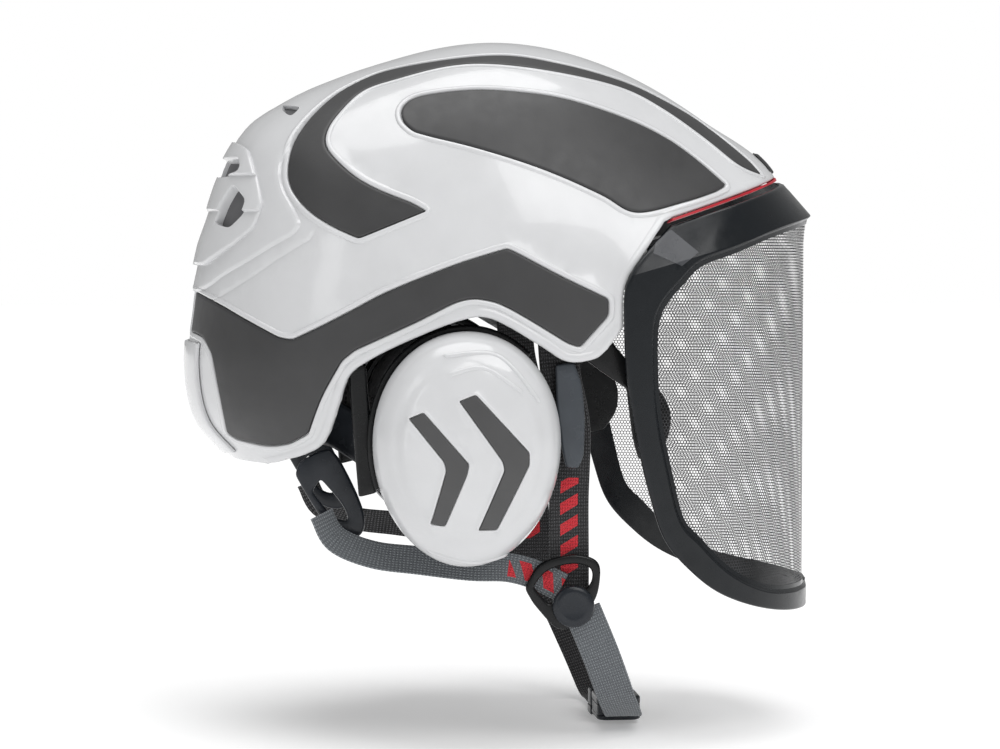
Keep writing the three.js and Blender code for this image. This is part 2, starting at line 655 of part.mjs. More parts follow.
// The hooked arm behind the cup: a hinge post at its rear and a bow that runs over the cup.
function addMuffHanger() {
  const { f, x, width, thickness, bottom, top } = MUFF_POST;
  const middle = (bottom + top) / 2;
  const bar = sideBox(x - thickness / 2, x + thickness / 2, f, middle, width, top - bottom);
  const pin = new THREE.CylinderGeometry(1.8, 1.8, 16, 16);
  const placed = moved(pin, (px, py, pz) => [-(x + px), -(f + pz), top + 5 + py]);
  addPair("muff_arm", bar.add(solid(placed)), CHARCOAL);
  const bow = mappedBox([22, 1, 1], (a, b, c) => {
    const angle = THREE.MathUtils.degToRad(50 + 150 * a);
    const share = YOKE.inner + (YOKE.outer - YOKE.inner) * b;
    return cupPoint(share, angle, YOKE.near + (YOKE.far - YOKE.near) * c);
  });
  addPair("muff_yoke", solid(bow), BLACK);
}

// ---------------------------------------------------------------- straps and buckle
function addStraps() {
  const forward = () => [0, 1, 0];
  addPair("front_strap", ribbon(FRONT_ROUTE, forward, WEBBING.width, WEBBING.wall, 12), BLACK_WEB);
  const { near, far, outline } = STRAP_GUIDE;
  addPair("strap_guide", sidePrism(outlinePoints(outline), near, far), CHARCOAL);
  // The rear strap turns from edge-on at the hook to upright at the divider.
  const upright = (c) => [0.7 - 0.7 * c, 0.45 - 0.35 * c, 1];
  addPair("rear_strap", ribbon(REAR_ROUTE, upright, WEBBING.narrow, WEBBING.wall, 20), GREY_WEB);
  addDivider();
  addChinStrap();
  addBuckle();
}

// The rounded three-cornered ring that joins the three straps, and the round cap on it.
function addDivider() {
  const { near, far, outline, hole, capF, capU, capRadius, capHeight } = DIVIDER;
  const plate = sidePrism(outlinePoints(outline), near, far);
  addPair("strap_divider", plate.subtract(sidePrism(outlinePoints(hole), 0, FAR)), CHARCOAL);
  const cap = new THREE.CylinderGeometry(capRadius - 0.5, capRadius, capHeight, 28);
  addPair("divider_cap", solid(moved(cap, (px, py, pz) => [
    -(far + GAP + capHeight / 2 - py), -(capF + px), capU + pz,
  ])), CHARCOAL);
}

// Each half of the chin strap hangs from its divider and runs level into the buckle.
function addChinStrap() {
  const forward = () => [0, 1, 0];
  const mirroredRoute = CHIN_ROUTE.map(([x, f, u]) => [-x, f, u]);
  const right = [...mirroredRoute, [-46, 81, -179.5], [-26.8, BUCKLE.f, BUCKLE.u]];
  addPart("chin_strap_right", ribbon(right, forward, WEBBING.chin, WEBBING.wall, 16), GREY_WEB);
  const level = BUCKLE.u - BUCKLE.strapDrop;
  const levelStretch = [38, 20, 1.5].map((x) => [x, BUCKLE.f, level]);
  const left = [...CHIN_ROUTE, [50, 80.5, -183], ...levelStretch];
  addPart("chin_strap_left", ribbon(left, forward, WEBBING.chin, WEBBING.wall, 20), GREY_WEB);
}

// A box about the buckle's centre: x as it is, f and u measured from the buckle.
function buckleBox([x0, x1], [f0, f1], [u0, u1]) {
  return solid(mappedBox([1, 1, 1], (a, b, c) => [
    x0 + (x1 - x0) * a, -(BUCKLE.f + f0 + (f1 - f0) * b), BUCKLE.u + u0 + (u1 - u0) * c,
  ]));
}

// A side-release buckle: the socket takes the plug's tongue, and a sprung button on top lets it go.
function addBuckle() {
  const mouth = buckleBox([-18, 5], [-7.5, 7.5], [-2.2, 2.2]);
  const well = buckleBox([-20.4, -7.6], [-5.4, 5.4], [-1, 9]);
  const socket = buckleBox([-26, 0], [-11, 11], [-5, 7]).subtract(mouth).subtract(well);
  addPart("buckle_socket", socket, CHARCOAL);
  const slot = buckleBox([-5, 20], [-9.6, 9.6], [-5.2, -2.8]);
  const body = buckleBox([GAP, 14], [-11, 11], [-6.5, 6.5]).subtract(slot);
  addPart("buckle_plug", body.add(buckleBox([-16, 2], [-7, 7], [-1.4, 1.4])), CHARCOAL);
  addPart("buckle_button", buckleBox([-20, -8], [-5, 5], [4, 8.4]), BLACK);
}

// ---------------------------------------------------------------- build
addShell();
addPanels();
addRearVent();
addBumper();
addLiner();
addFrontSeal();
addFrontCatch();
addSuspension();
addNape();
addAdjuster();
addVisor();
addVisorArms();
addCup();
addMuffInside();
addMuffHanger();
addStraps();

export default helmet;
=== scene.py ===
"""Looks of the forestry helmet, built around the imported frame.

Shapes are drawn in the side plane in millimetres: f is the distance forward and u the distance up.
A surface turns a flat point and a height above the surface into a place (x, -f, u - SEAT_HEIGHT).
"""

import math

import bmesh
import bpy
import numpy as np
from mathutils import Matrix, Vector
from mathutils.geometry import delaunay_2d_cdt
from mathutils.kdtree import KDTree


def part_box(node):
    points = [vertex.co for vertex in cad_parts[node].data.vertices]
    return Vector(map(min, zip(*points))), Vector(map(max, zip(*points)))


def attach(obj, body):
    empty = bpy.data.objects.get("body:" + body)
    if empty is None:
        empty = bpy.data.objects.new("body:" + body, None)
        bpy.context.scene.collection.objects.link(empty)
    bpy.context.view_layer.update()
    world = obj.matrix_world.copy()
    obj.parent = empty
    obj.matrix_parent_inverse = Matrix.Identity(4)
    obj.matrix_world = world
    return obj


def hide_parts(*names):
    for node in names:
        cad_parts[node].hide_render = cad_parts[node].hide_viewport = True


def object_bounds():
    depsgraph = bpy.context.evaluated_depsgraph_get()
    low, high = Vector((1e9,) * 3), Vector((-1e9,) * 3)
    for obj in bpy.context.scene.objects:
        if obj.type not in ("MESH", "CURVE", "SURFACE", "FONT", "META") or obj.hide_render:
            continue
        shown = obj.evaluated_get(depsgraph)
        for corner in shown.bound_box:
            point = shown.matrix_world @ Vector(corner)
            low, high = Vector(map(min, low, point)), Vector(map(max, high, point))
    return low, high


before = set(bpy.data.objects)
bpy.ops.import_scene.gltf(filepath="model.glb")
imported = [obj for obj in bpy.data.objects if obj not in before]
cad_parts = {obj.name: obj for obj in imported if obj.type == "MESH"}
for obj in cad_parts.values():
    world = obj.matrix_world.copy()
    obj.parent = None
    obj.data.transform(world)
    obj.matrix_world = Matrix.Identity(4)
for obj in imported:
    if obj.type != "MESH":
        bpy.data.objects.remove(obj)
cad_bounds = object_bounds()

# ---------------------------------------------------------------- driving dimensions (mm)
SEAT_HEIGHT = 30
MILLIMETRE = 0.001

DOME_CENTRE = (8, 5)
HALF_WIDTH = 104
SIDE_POWER = 2.5
WIDTH_POWER = 2.1
DOME_SCALE = 130                       # flat millimetres per radian away from the side of the dome
SHELL_WALL = 3
POCKET = 1.2                           # depth of the pockets that hold the inserts
POCKET_SLOPE = 0.12                    # flat distance over which a pocket's wall drops
EDGE_RADIUS = 1.2
RIM_LINE = ((0, 3.2, 4.0), (0.45, 0.45, 0))   # distance in from the shell's edge, height of its raised line
BEAD_WIDTH = 2.6                       # raised line round each insert
BEAD_HEIGHT = 0.7
INSERT_GAP = 0.45
INSERT_FACES = (0.3, -0.85)            # heights of an insert's face and back
PANEL_MARGIN = 12                      # inserts stay this far from the middle plane

DOME_RADII = [
    (26, 172.5), (42, 159), (59, 151.5), (84, 145.7), (104, 141.2), (116, 142.2), (128, 146.3),
    (137, 149.3), (147, 144.5), (157, 138.4), (174, 136), (186, 138.8), (197, 139), (206, 132),
    (222, 126), (245, 140), (270, 155), (300, 160), (330, 156), (360, 154),
]
LINER_FACES = (-4.0, -9.0)
LINER_RADII = [
    (20, 118), (42, 124), (60, 130), (84, 135), (104, 134), (128, 137), (147, 136),
    (174, 129), (197, 130), (222, 118), (250, 140), (290, 150), (340, 124),
]

SHELL_EDGE = [
    [(-91, -54), (-73, -47), (-66, -40), (-61, -25), (-56, -10), (-46, -2), (-28, 7), (-5, 16),
     (10, 17), (32, 5), (45, -3), (56, -3), (64, 1), (73, 13)],
    [(73, 13), (73, 28), (76, 37), (83, 47), (94, 62)],
    [(98, 64), (160, 83)],
]
SHELL_CLOSING = [[(230, 104), (230, 220)], [(-200, 220), (-200, -54)]]
STRIPE = [
    [(-19, 67), (-51, 54)],
    [(-51, 54), (-64, 60), (-75, 68), (-82, 78), (-83, 88), (-79, 101), (-68, 115), (-52, 127),
     (-28, 136), (18, 142), (50, 138), (81, 130), (102, 121), (123, 109), (144, 91)],
    [(150, 84), (136, 89), (120, 102), (100, 116), (80, 126), (49, 133), (17, 137), (-5, 136),
     (-29, 130), (-46, 124), (-58, 113), (-64, 104), (-64, 96), (-54, 85), (-43, 78), (-26, 71)],
]
LEAF = [
    [(-24, 104), (-29, 109), (-29, 115.5), (-22, 121), (-4, 124), (16, 124.5), (47, 121), (77, 112),
     (97, 103), (112, 93), (128, 79)],
    [(122, 76), (105, 71), (80, 66), (64, 74), (44, 83), (25, 90), (2, 97), (-16, 101.5), (-24, 104)],
]
LOWER = [
    [(-127, 28), (-114, 22), (-105, 17), (-88, 8)],
    [(-82, 7), (-68, 14), (-53, 22), (-40, 29), (-21, 37), (-2, 44), (18, 50)],
    [(26, 46), (43, 37), (66, 26)],
    [(66, 18), (52, 3)],
    [(46, 5), (21, 20), (9, 25), (-4, 25), (-25, 15), (-53, 2)],
    [(-59, -3), (-68, -20), (-74, -38)],
    [(-82, -43), (-92, -45), (-107, -43)],
    [(-112, -40), (-119, -2)],
    [(-123, 6), (-130, 8)],
]
INSERTS = {"stripe_insert": STRIPE, "leaf_insert": LEAF, "lower_insert": LOWER}
PLATFORM = [                            # raised rear of the crown, above a thick ridge
    [(-150, 20), (-125, 28), (-112.8, 36.8), (-103, 42.9), (-91.3, 50.5), (-81, 56.5)],
    [(-77.6, 60.5), (-81, 68), (-85.5, 77), (-86.7, 86.5), (-82.5, 95.5), (-73.9, 106.2), (-62, 115.9),
     (-48, 126)],
    [(-40, 170), (-150, 170)],
]
PLATFORM_HEIGHT = 1.5
PLATFORM_RIDGE = ((-34, -1.6, 0, 1.0), (0.15, 1, 0.8, 0))   # distance out from its border, share of height
PLATFORM_FADE = (103, 131)             # heights between which the raised part fades out
CREASE = (0.5, 0.8)                    # depth and half width of the crease below the ridge
CREASE_LINE = [(-118, 24), (-113.9, 26.4), (-100.8, 35.1), (-87.1, 44.8), (-73.2, 53.5)]
REAR_COVER = [
    [(-150, 100), (-106, 100)], [(-100, 96), (-96, 82)], [(-93.5, 70), (-98, 58)],
    [(-107, 50), (-118, 42)], [(-120, 40), (-150, 40)],
]
COVER_LIFT = 0.4                       # how far the cover's lowest part stands above the platform
COVER_UNDERSIDE = -0.8
REAR_VENTS = {
    "upper": [[(-150, 91), (-103.5, 91)], [(-103, 85), (-108, 83)], [(-112, 82.5), (-150, 82.5)]],
    "middle": [[(-106.7, 78.5), (-100.8, 71)], [(-102.4, 65), (-108.5, 58)], [(-115.5, 60), (-111.4, 70.4)]],
    "notch": [[(-84, 118.5), (-75, 116.5)], [(-80, 111.5), (-84, 115)]],
}
REAR_VENT_DEPTH = 2.4
# heights of the dark sheets in the rear vents: painted shade for the shadowed inside of the openings
SHADE_SHEET_FACES = (0.4 - REAR_VENT_DEPTH, -0.2 - REAR_VENT_DEPTH)
GILL_TOP = 100
GILL_PITCH = 17
GILL_SLOPE = 1.6
BUMPER = [[(-150, 3), (-122, 3)], [(-119, -20), (-112, -38)], [(-112, -52), (-150, -52)]]
BUMPER_HALF_WIDTH = 34
BUMPER_LIFT = 2.2
LINER_EDGE = [
    [(-160, 34), (-90, 34), (-64, 32), (10, 38), (60, 34), (78, 46), (96, 56), (160, 60)],
    [(230, 60), (230, 220)], [(-200, 220), (-200, 34)],
]
SEAL = [
    [(97.2, 62), (160, 81.4), (180, 86.8)],
    [(180, 88), (160, 82.6), (97.4, 63.2)],
]
SEAL_LIFT = 0.8
CATCH = [[(142, 86.5), (160, 86.5)], [(180, 95), (142, 95)]]
CATCH_HALF_WIDTH = 11
CATCH_LIFT = 1.8
FITTING_UNDERSIDE = 0.4                # height of the underside of bumper and catch

VISOR_REAR = 60
VISOR_REACH = 119
VISOR_HALF_WIDTH = 102.2
VISOR_WALL = 2.4
VISOR_LENGTH_POWER = 2.3
VISOR_FLARE = 1.2
VISOR_FLARE_RISE = 14                  # height over which the band flares out below the peak
VISOR_CREASE = (110, 46, 0.275)        # a point of the line where band and peak meet, and its slope
VISOR_FRAME = [
    [(98, 60), (84, 47), (76, 37), (73, 28), (73, 11), (74.4, -12), (80, -44), (85.6, -67),
     (93, -88), (106, -103), (122, -115), (145, -124), (170, -129), (200, -131)],
    [(200, -131), (200, 90)], [(200, 90), (160, 78.6)],
]
VISOR_WINDOW = [
    [(200, 64), (170, 59), (150, 54), (130, 47), (112, 41), (103, 33), (94, 23), (90, 12), (90, -12),
     (92, -32), (97, -56), (103, -78), (112, -88), (125, -101), (140, -110), (158, -115), (200, -118)],
]
WINDOW_BEVEL = ((0, 2.0, 3.6, 4.0), (1.9, 1.7, 0.1, 0))   # distance from the window, drop of the frame
MESH_INSET = 2.3
MESH_PITCH = 1.65
MESH_OPENING = (0.79, 0.7)              # share of the pitch that is open, at the sides and in front
VISOR_FACET = [(87.2, 47.2), (100.6, 41.1), (109.1, 47.6)]
VISOR_FACET_SLOPE = 0.17
VISOR_SHARP_ANGLE = 8.5
FACET_TOP = [(98, 58), (91, 56)]
ARM = [
    [(48, 4), (60, -6), (76, -17)],
    [(76, -17), (79, -40), (82, -51)],
    [(89, -50), (96, -40), (97, -28), (93, -19)],
    [(86, -14), (70, 4), (66, 14), (56, 18), (47, 13)],
]

CUP_CENTRE = (-1, -44)
CUP_HALF_LENGTH = 44
CUP_HALF_HEIGHT = 55
CUP_RIM = 99
CUP_SCALE = 50                         # flat millimetres for a share of 1 in the profile
CUP_WALL = 2.0
CHEVRONS = {
    "chevron_small": [(-30, -28), (-23, -25), (-2, -49), (-3, -54), (-13, -78), (-20, -77), (-13, -52),
                      (-14, -48)],
    "chevron_large": [(-7, -20), (1, -17), (26, -44), (26, -50), (11, -80), (2, -80), (14, -52), (13, -48)],
}
CHEVRON_POCKET = 1.0
CHEVRON_BEAD = 0.45
CUP_RIDGES = [
    [(-9.5, -7.5), (5.3, -5), (21.9, -15.6)], [(-12.2, 0.4), (12, 0.5), (30.5, -20)],
    [(-19, -90.8), (0, -96), (18.6, -93.2), (27, -88)],
]
CUP_RIDGE_HEIGHT = 0.7
CUP_RIDGE_HALF_WIDTH = 1.1

HEAD_FORWARD = -2
HEAD_HALF_LENGTH = 99
HEAD_HALF_WIDTH = 79
HEAD_CROWN = 95
BAND_TILT = 8
BAND_END = 156
BAND_HALF_HEIGHT = 13
BAND_WALL = 1.8
SWEATBAND_END = 62
SWEATBAND_WALL = 5
CRADLE_FOOT = 62
CRADLE_WIDTH = 18
CRADLE_WALL = 0.7
CROWN_PAD_RADIUS = 33
CROWN_PAD_DROP = -2.9                  # height of its middle layer against the head's cap
NAPE = {"start": 118, "end": 242, "bottom": -34, "top": -10, "grow": -6, "wall": 2.4, "horn": 22}
NAPE_PAD_OVERHANG = 8
NAPE_PAD_WALL = 5
SWELL_ROOM = 1.2                       # how much thinner a pad is before it is swollen
STITCH_RADIUS = 0.5
ADJUSTER_HEIGHT = 16
BUCKLE = (82, -181)                    # forward and height of the middle of the buckle
PLATE_FACES = {                         # distance of each plate's two faces from the middle plane
    "strap_guide": (93.7, 96.7), "strap_hanger": (67, 70.5), "strap_divider": (82, 85),
    "muff_arm": (87.5, 91.5), "muff_yoke": (89.5, 93.5), "visor_arm": (85.4, 88.4),
}
SIMULATED_FRAMES = 20
PAD_VOXEL = 4
PAD_PRESSURE = 4
SHARP_ANGLE = 38
STRAP_SHARP_ANGLE = 50


# ---------------------------------------------------------------- vectors and outlines
def unit(vectors):
    return vectors / np.maximum(np.linalg.norm(vectors, axis=1), 1e-9)[:, None]


def lengths_along(points):
    """Distance along a line from its first point to each point."""
    return np.concatenate([[0], np.cumsum(np.linalg.norm(np.diff(points, axis=0), axis=1))])


def search_tree(spots):
    tree = KDTree(len(spots))
    for i, spot in enumerate(spots):
        tree.insert(spot, i)
    tree.balance()
    return tree


def spline(points, step):
    """A smooth curve through the points, with a sample about every step millimetres."""
    points = np.array(points, float)
    padded = np.vstack([points[:1], points, points[-1:]])
    samples = []
    for i in range(1, len(padded) - 2):
        before, start, end, after = padded[i - 1:i + 3]
        count = max(1, math.ceil(np.linalg.norm(end - start) / step))
        t = np.linspace(0, 1, count, endpoint=False)[:, None]
        samples.append(0.5 * (2 * start + (end - before) * t
                              + (2 * before - 5 * start + 4 * end - after) * t ** 2
                              + (3 * start - before - 3 * end + after) * t ** 3))
    samples.append(points[-1:])
    return np.vstack(samples)


def counterclockwise(loop):
    x, y = loop.T
    area = np.sum(x * np.roll(y, -1) - np.roll(x, -1) * y)
    return loop if area > 0 else loop[::-1]


def without_repeats(loop, least=0.2):
    gap = np.linalg.norm(loop - np.roll(loop, 1, 0), axis=1)
    return loop[gap > least]


def closed_outline(stretches, step=1.5, soften=3):
    """A closed outline of smooth stretches that meet at corners, with its corners eased a little."""
    pieces = []
    for i, stretch in enumerate(stretches):
        following = stretches[(i + 1) % len(stretches)][0]
        pieces.append(spline(stretch, step)[:-1])
        if stretch[-1] != following:
            pieces.append(spline([stretch[-1], following], step)[:-1])
    loop = without_repeats(counterclockwise(np.vstack(pieces)))
    for _ in range(soften):
        loop = 0.25 * np.roll(loop, 1, 0) + 0.5 * loop + 0.25 * np.roll(loop, -1, 0)
    return loop


def polygon(points, step=1.5, soften=3):
    """A closed outline with straight sides."""
    sides = [[point, points[(i + 1) % len(points)]] for i, point in enumerate(points)]
    return closed_outline(sides, step, soften)


def refined(loop, step):
    """A closed loop with extra points where its sides are longer than a step."""
    pieces = []
    for start, end in zip(loop, np.roll(loop, -1, 0)):
        count = max(1, math.ceil(np.linalg.norm(end - start) / step))
        pieces.append(start + (end - start) * np.linspace(0, 1, count, endpoint=False)[:, None])
    return np.vstack(pieces)


def inside(loop, points):
    """Which points lie inside a closed loop."""
    x, y = points.T
    found = np.zeros(len(points), bool)
    for (x0, y0), (x1, y1) in zip(loop, np.roll(loop, -1, 0)):
        if y0 == y1:
            continue
        crosses = (y0 > y) != (y1 > y)
        found ^= crosses & (x < (x1 - x0) * (y - y0) / (y1 - y0) + x0)
    return found


# ---------------------------------------------------------------- surfaces
def radius_curve(table):
    """Angles and smooth radii of a closed curve given as (degrees, radius)."""
    count = len(table)
    knots = [(table[i % count][0] + 360 * (i // count), table[i % count][1]) for i in range(-2, count + 3)]
    angles = np.array([knot[0] for knot in knots], float)
    radii = np.array([knot[1] for knot in knots], float)
    slopes = np.gradient(radii, angles)
    slopes[1:-1] = (radii[2:] - radii[:-2]) / (angles[2:] - angles[:-2])
    samples = np.arange(0, 360.5, 0.5)
    i = np.searchsorted(angles, samples, side="right") - 1
    width = angles[i + 1] - angles[i]
    t = (samples - angles[i]) / width
    smooth = ((2 * t ** 3 - 3 * t ** 2 + 1) * radii[i] + (t ** 3 - 2 * t ** 2 + t) * slopes[i] * width
              + (3 * t ** 2 - 2 * t ** 3) * radii[i + 1] + (t ** 3 - t ** 2) * slopes[i + 1] * width)
    return samples, smooth


def to_row(x, f, u):
    """Places in the row frame; each of x, f and u is an array or one number."""
    return np.stack(np.broadcast_arrays(x, -f, u - SEAT_HEIGHT), axis=-1)


class Dome:
    """The right half of a dome. Flat points are polar, with the distance from the side of the dome."""

    rim = DOME_SCALE * math.pi / 2

    def __init__(self, table):
        self.angles, self.radii = radius_curve(table)

    def radius(self, turn):
        return np.interp(np.degrees(turn) % 360, self.angles, self.radii)

    def place(self, points, height):
        tilt = np.minimum(np.hypot(*points.T) / DOME_SCALE, math.pi / 2)
        turn = np.arctan2(points[:, 1], points[:, 0])
        share = np.sin(tilt) ** (2 / SIDE_POWER)
        reach = share * (self.radius(turn) + height)
        x = (HALF_WIDTH + height) * np.maximum(0, np.cos(tilt)) ** (2 / WIDTH_POWER)
        x[x < 1e-4] = 0
        return to_row(-x, DOME_CENTRE[0] + reach * np.cos(turn), DOME_CENTRE[1] + reach * np.sin(turn))

    def flat(self, outline, nearest_x=0):
        """Flat points of a side-view outline, kept at least nearest_x from the middle plane."""
        f, u = (outline - DOME_CENTRE).T
        turn = np.arctan2(u, f)
        share = np.minimum(1, np.hypot(f, u) / self.radius(turn))
        limit = math.acos((nearest_x / HALF_WIDTH) ** (WIDTH_POWER / 2))
        tilt = np.minimum(np.arcsin(share ** (SIDE_POWER / 2)), limit)
        return without_repeats(np.column_stack([tilt * np.cos(turn), tilt * np.sin(turn)]) * DOME_SCALE)


class Visor:
    """The right half of the visor's U. Flat points are (distance round the U from its middle, u)."""

    def __init__(self):
        self.sides = np.linspace(-1, 0, 400)
        length = lengths_along(self.section(self.sides, np.zeros(400), 0))
        self.lengths = length - length[-1]
        self.span = length[-1]

    def crease(self, f):
        start, level, slope = VISOR_CREASE
        return level + (f - start) * slope

    def section(self, side, u, inset):
        angle = side * math.pi / 2
        forward = np.maximum(0, np.cos(angle)) ** (2 / VISOR_LENGTH_POWER)
        sideways = np.abs(np.sin(angle))
        crease = self.crease(VISOR_REAR + VISOR_REACH * forward)
        above = np.maximum(0, u - crease)
        rise = np.clip((u - crease + VISOR_FLARE_RISE) / VISOR_FLARE_RISE, 0, 1)
        flare = VISOR_FLARE * rise ** 2 * (3 - 2 * rise) * forward
        lean = above * (0.4 + 0.5 * forward)
        x = (VISOR_HALF_WIDTH - inset - lean * (1.3 - forward)) * sideways
        f = VISOR_REAR + (VISOR_REACH - inset + flare - lean) * forward
        return to_row(-x, f, u)

    def place(self, points, height):
        side = np.interp(points[:, 0], self.lengths, self.sides)
        return self.section(side, points[:, 1], -height)

    def flat(self, outline):
        """Flat points of a side-view outline; what lies beyond the visor ends at its middle."""
        f, u = outline.T
        low, high = np.full(len(f), -1.0), np.zeros(len(f))
        for _ in range(40):
            middle = (low + high) / 2
            short = -self.section(middle, u, 0)[:, 1] < f
            low, high = np.where(short, middle, low), np.where(short, high, middle)
        side = np.where(high > -1e-6, 0, low)
        return without_repeats(np.column_stack([np.interp(side, self.sides, self.lengths), u]))


def widening(turn):
    """How much longer the cup's outline is at a turn than an ellipse: it is fuller at the top."""
    return 1 + 0.05 * np.sin(turn)


def egg(share, turn):
    """Side-view place of a share of the cup's egg-shaped outline."""
    f = CUP_CENTRE[0] + share * CUP_HALF_LENGTH * widening(turn) * np.cos(turn)
    u = CUP_CENTRE[1] + share * CUP_HALF_HEIGHT * np.sin(turn)
    return f, u


class Cup:
    """A face turned about the cup's axis. Flat points are polar, with the distance along the profile."""

    def __init__(self, profile):
        knots = np.array([(share * CUP_SCALE, x) for share, x in profile], float)
        curve = spline(knots, 0.5)
        self.curve = curve
        self.length = lengths_along(curve)
        ahead = unit(np.gradient(curve, axis=0))
        self.normal = np.column_stack([-ahead[:, 1], ahead[:, 0]])

    def place(self, points, height):
        along = np.hypot(*points.T)
        turn = np.arctan2(points[:, 1], points[:, 0])
        share, x = (np.interp(along, self.length, self.curve[:, i])
                    + height * np.interp(along, self.length, self.normal[:, i]) for i in (0, 1))
        f, u = egg(share / CUP_SCALE, turn)
        return to_row(-(CUP_RIM + x), f, u)

    def flat(self, outline):
        f, u = (outline - CUP_CENTRE).T
        turn = np.arctan2(u / CUP_HALF_HEIGHT, f / CUP_HALF_LENGTH)
        for _ in range(4):
            turn = np.arctan2(u / CUP_HALF_HEIGHT, f / CUP_HALF_LENGTH / widening(turn))
        share = np.hypot(u / CUP_HALF_HEIGHT, f / CUP_HALF_LENGTH / widening(turn))
        climbing = np.maximum.accumulate(self.curve[:, 0])
        along = np.interp(share * CUP_SCALE, climbing, self.length)
        return np.column_stack([along * np.cos(turn), along * np.sin(turn)])


class Plate:
    """A flat plate parallel to the middle plane, at a distance to the right of it."""

    def __init__(self, x):
        self.x = x

    def place(self, points, height):
        return to_row(-(self.x + height), points[:, 0], points[:, 1])

    def flat(self, outline):
        return outline


# ---------------------------------------------------------------- sheets on surfaces
def row(surface, line, shift, closed=True):
    """The line moved along the surface to the right of its direction, which is outwards for a loop."""
    here = surface.place(line, 0)
    step = 0.05
    across = (surface.place(line + (step, 0), 0) - here) / step
    upward = (surface.place(line + (0, step), 0) - here) / step
    ahead = np.roll(here, -1, 0) - np.roll(here, 1, 0)
    if not closed:
        ahead = np.gradient(here, axis=0)
    side = unit(np.cross(ahead, np.cross(across, upward)))
    a, b, c = (np.sum(p * q, 1) for p, q in ((across, across), (across, upward), (upward, upward)))
    p, q = np.sum(side * across, 1), np.sum(side * upward, 1)
    scale = shift / np.maximum(a * c - b * b, 1e-6)
    move = np.column_stack([(c * p - b * q) * scale, (a * q - b * p) * scale])
    length = np.maximum(np.linalg.norm(move, axis=1), 1e-9)
    most = 1.6 * abs(shift)
    return line + move * np.minimum(1, most / length)[:, None]


def lanes(surface, line, shifts, closed=True):
    """The line moved by each distance, as pairs of a line and whether it is closed."""
    return [(row(surface, line, shift, closed), closed) for shift in shifts]


def distance(surface, line, points, closed=True):
    """Distance in millimetres from flat points to a line on the surface; it is negative inside a loop."""
    ends = np.roll(line, -1, 0) if closed else line[1:]
    starts = line if closed else line[:-1]
    shares = np.linspace(0, 1, 6, endpoint=False)
    dense = np.vstack([starts + (ends - starts) * share for share in shares])
    tree = search_tree(surface.place(dense, 0))
    found = np.array([tree.find(place)[2] for place in surface.place(points, 0)])
    return np.where(inside(line, points), -found, found) if closed else found


def triangulate(keep, holes, lines, spacing):
    """Flat vertices and triangles of the area inside keep and outside the holes.
    The lines are kept as edges, and the rest is filled with evenly spaced points."""
    def wanted(points):
        found = inside(keep, points)
        for hole in holes:
            found &= ~inside(hole, points)
        return found

    spots, links = [], []
    for line, closed in [(keep, True), *((hole, True) for hole in holes), *lines]:
        start = len(spots)
        spots.extend(map(tuple, line))
        count = len(line)
        links.extend((start + i, start + (i + 1) % count) for i in range(count if closed else count - 1))
    tree = search_tree([(*spot, 0) for spot in spots])
    low, high = keep.min(0), keep.max(0)
    rise = spacing * math.sqrt(3) / 2
    grid = [(x + spacing / 2 * (i % 2), y)
            for i, y in enumerate(np.arange(low[1], high[1], rise))
            for x in np.arange(low[0], high[0], spacing)]
    grid = np.array(grid) if grid else np.zeros((0, 2))
    fill = [tuple(p) for p in grid[wanted(grid)] if tree.find((*p, 0))[2] > spacing * 0.55]
    corners = [Vector(p) for p in spots + fill]
    vertices, _, faces = delaunay_2d_cdt(corners, links, [], 0, 1e-3, False)[:3]
    vertices, faces = np.array(vertices), np.array(faces)
    used, faces = np.unique(faces[wanted(vertices[faces].mean(1))], return_inverse=True)
    return vertices[used], faces.reshape(-1, 3)


def skin(rings, sides, closed=False):
    """Faces that join equal rings of points, with a face over each open end."""
    faces = []
    for i in range(rings if closed else rings - 1):
        here, beyond = i * sides, (i + 1) % rings * sides
        for k in range(sides):
            n = (k + 1) % sides
            faces.append((here + k, here + n, beyond + n, beyond + k))
    if not closed:
        last = (rings - 1) * sides
        faces += [tuple(range(sides))[::-1], tuple(last + k for k in range(sides))]
    return faces


def sheet(surface, flat, triangles, top, bottom):
    """Vertices and faces of a closed sheet between two heights; it stays open on the middle plane."""
    upper = surface.place(flat, top)
    lower = surface.place(flat, bottom)
    count = len(flat)
    faces = [tuple(t) for t in triangles] + [tuple(t[::-1] + count) for t in triangles]
    edges = {(t[i], t[(i + 1) % 3]) for t in triangles for i in range(3)}
    for a, b in edges:
        on_middle = upper[a][0] == 0 and upper[b][0] == 0
        if (b, a) not in edges and not on_middle:
            faces.append((b, a, a + count, b + count))
    return np.vstack([upper, lower]), faces


def reflected(vertices, faces):
    return vertices * (-1, 1, 1), [face[::-1] for face in faces]


def both_halves(vertices, faces):
    """A right half joined to its mirror image."""
    other, turned = reflected(vertices, faces)
    count = len(vertices)
    return np.vstack([vertices, other]), faces + [tuple(i + count for i in face) for face in turned]


def combined(*pieces):
    vertices, faces = [], []
    for points, corners in pieces:
        start = sum(map(len, vertices))
        vertices.append(np.asarray(points))
        faces.extend(tuple(i + start for i in corner) for corner in corners)
    return np.vstack(vertices), faces


def new_mesh(name, vertices, faces):
    """A mesh from vertices in millimetres."""
    mesh = bpy.data.meshes.new(name)
    mesh.from_pydata((np.asarray(vertices) * MILLIMETRE).tolist(), [], [list(map(int, f)) for f in faces])
    return mesh


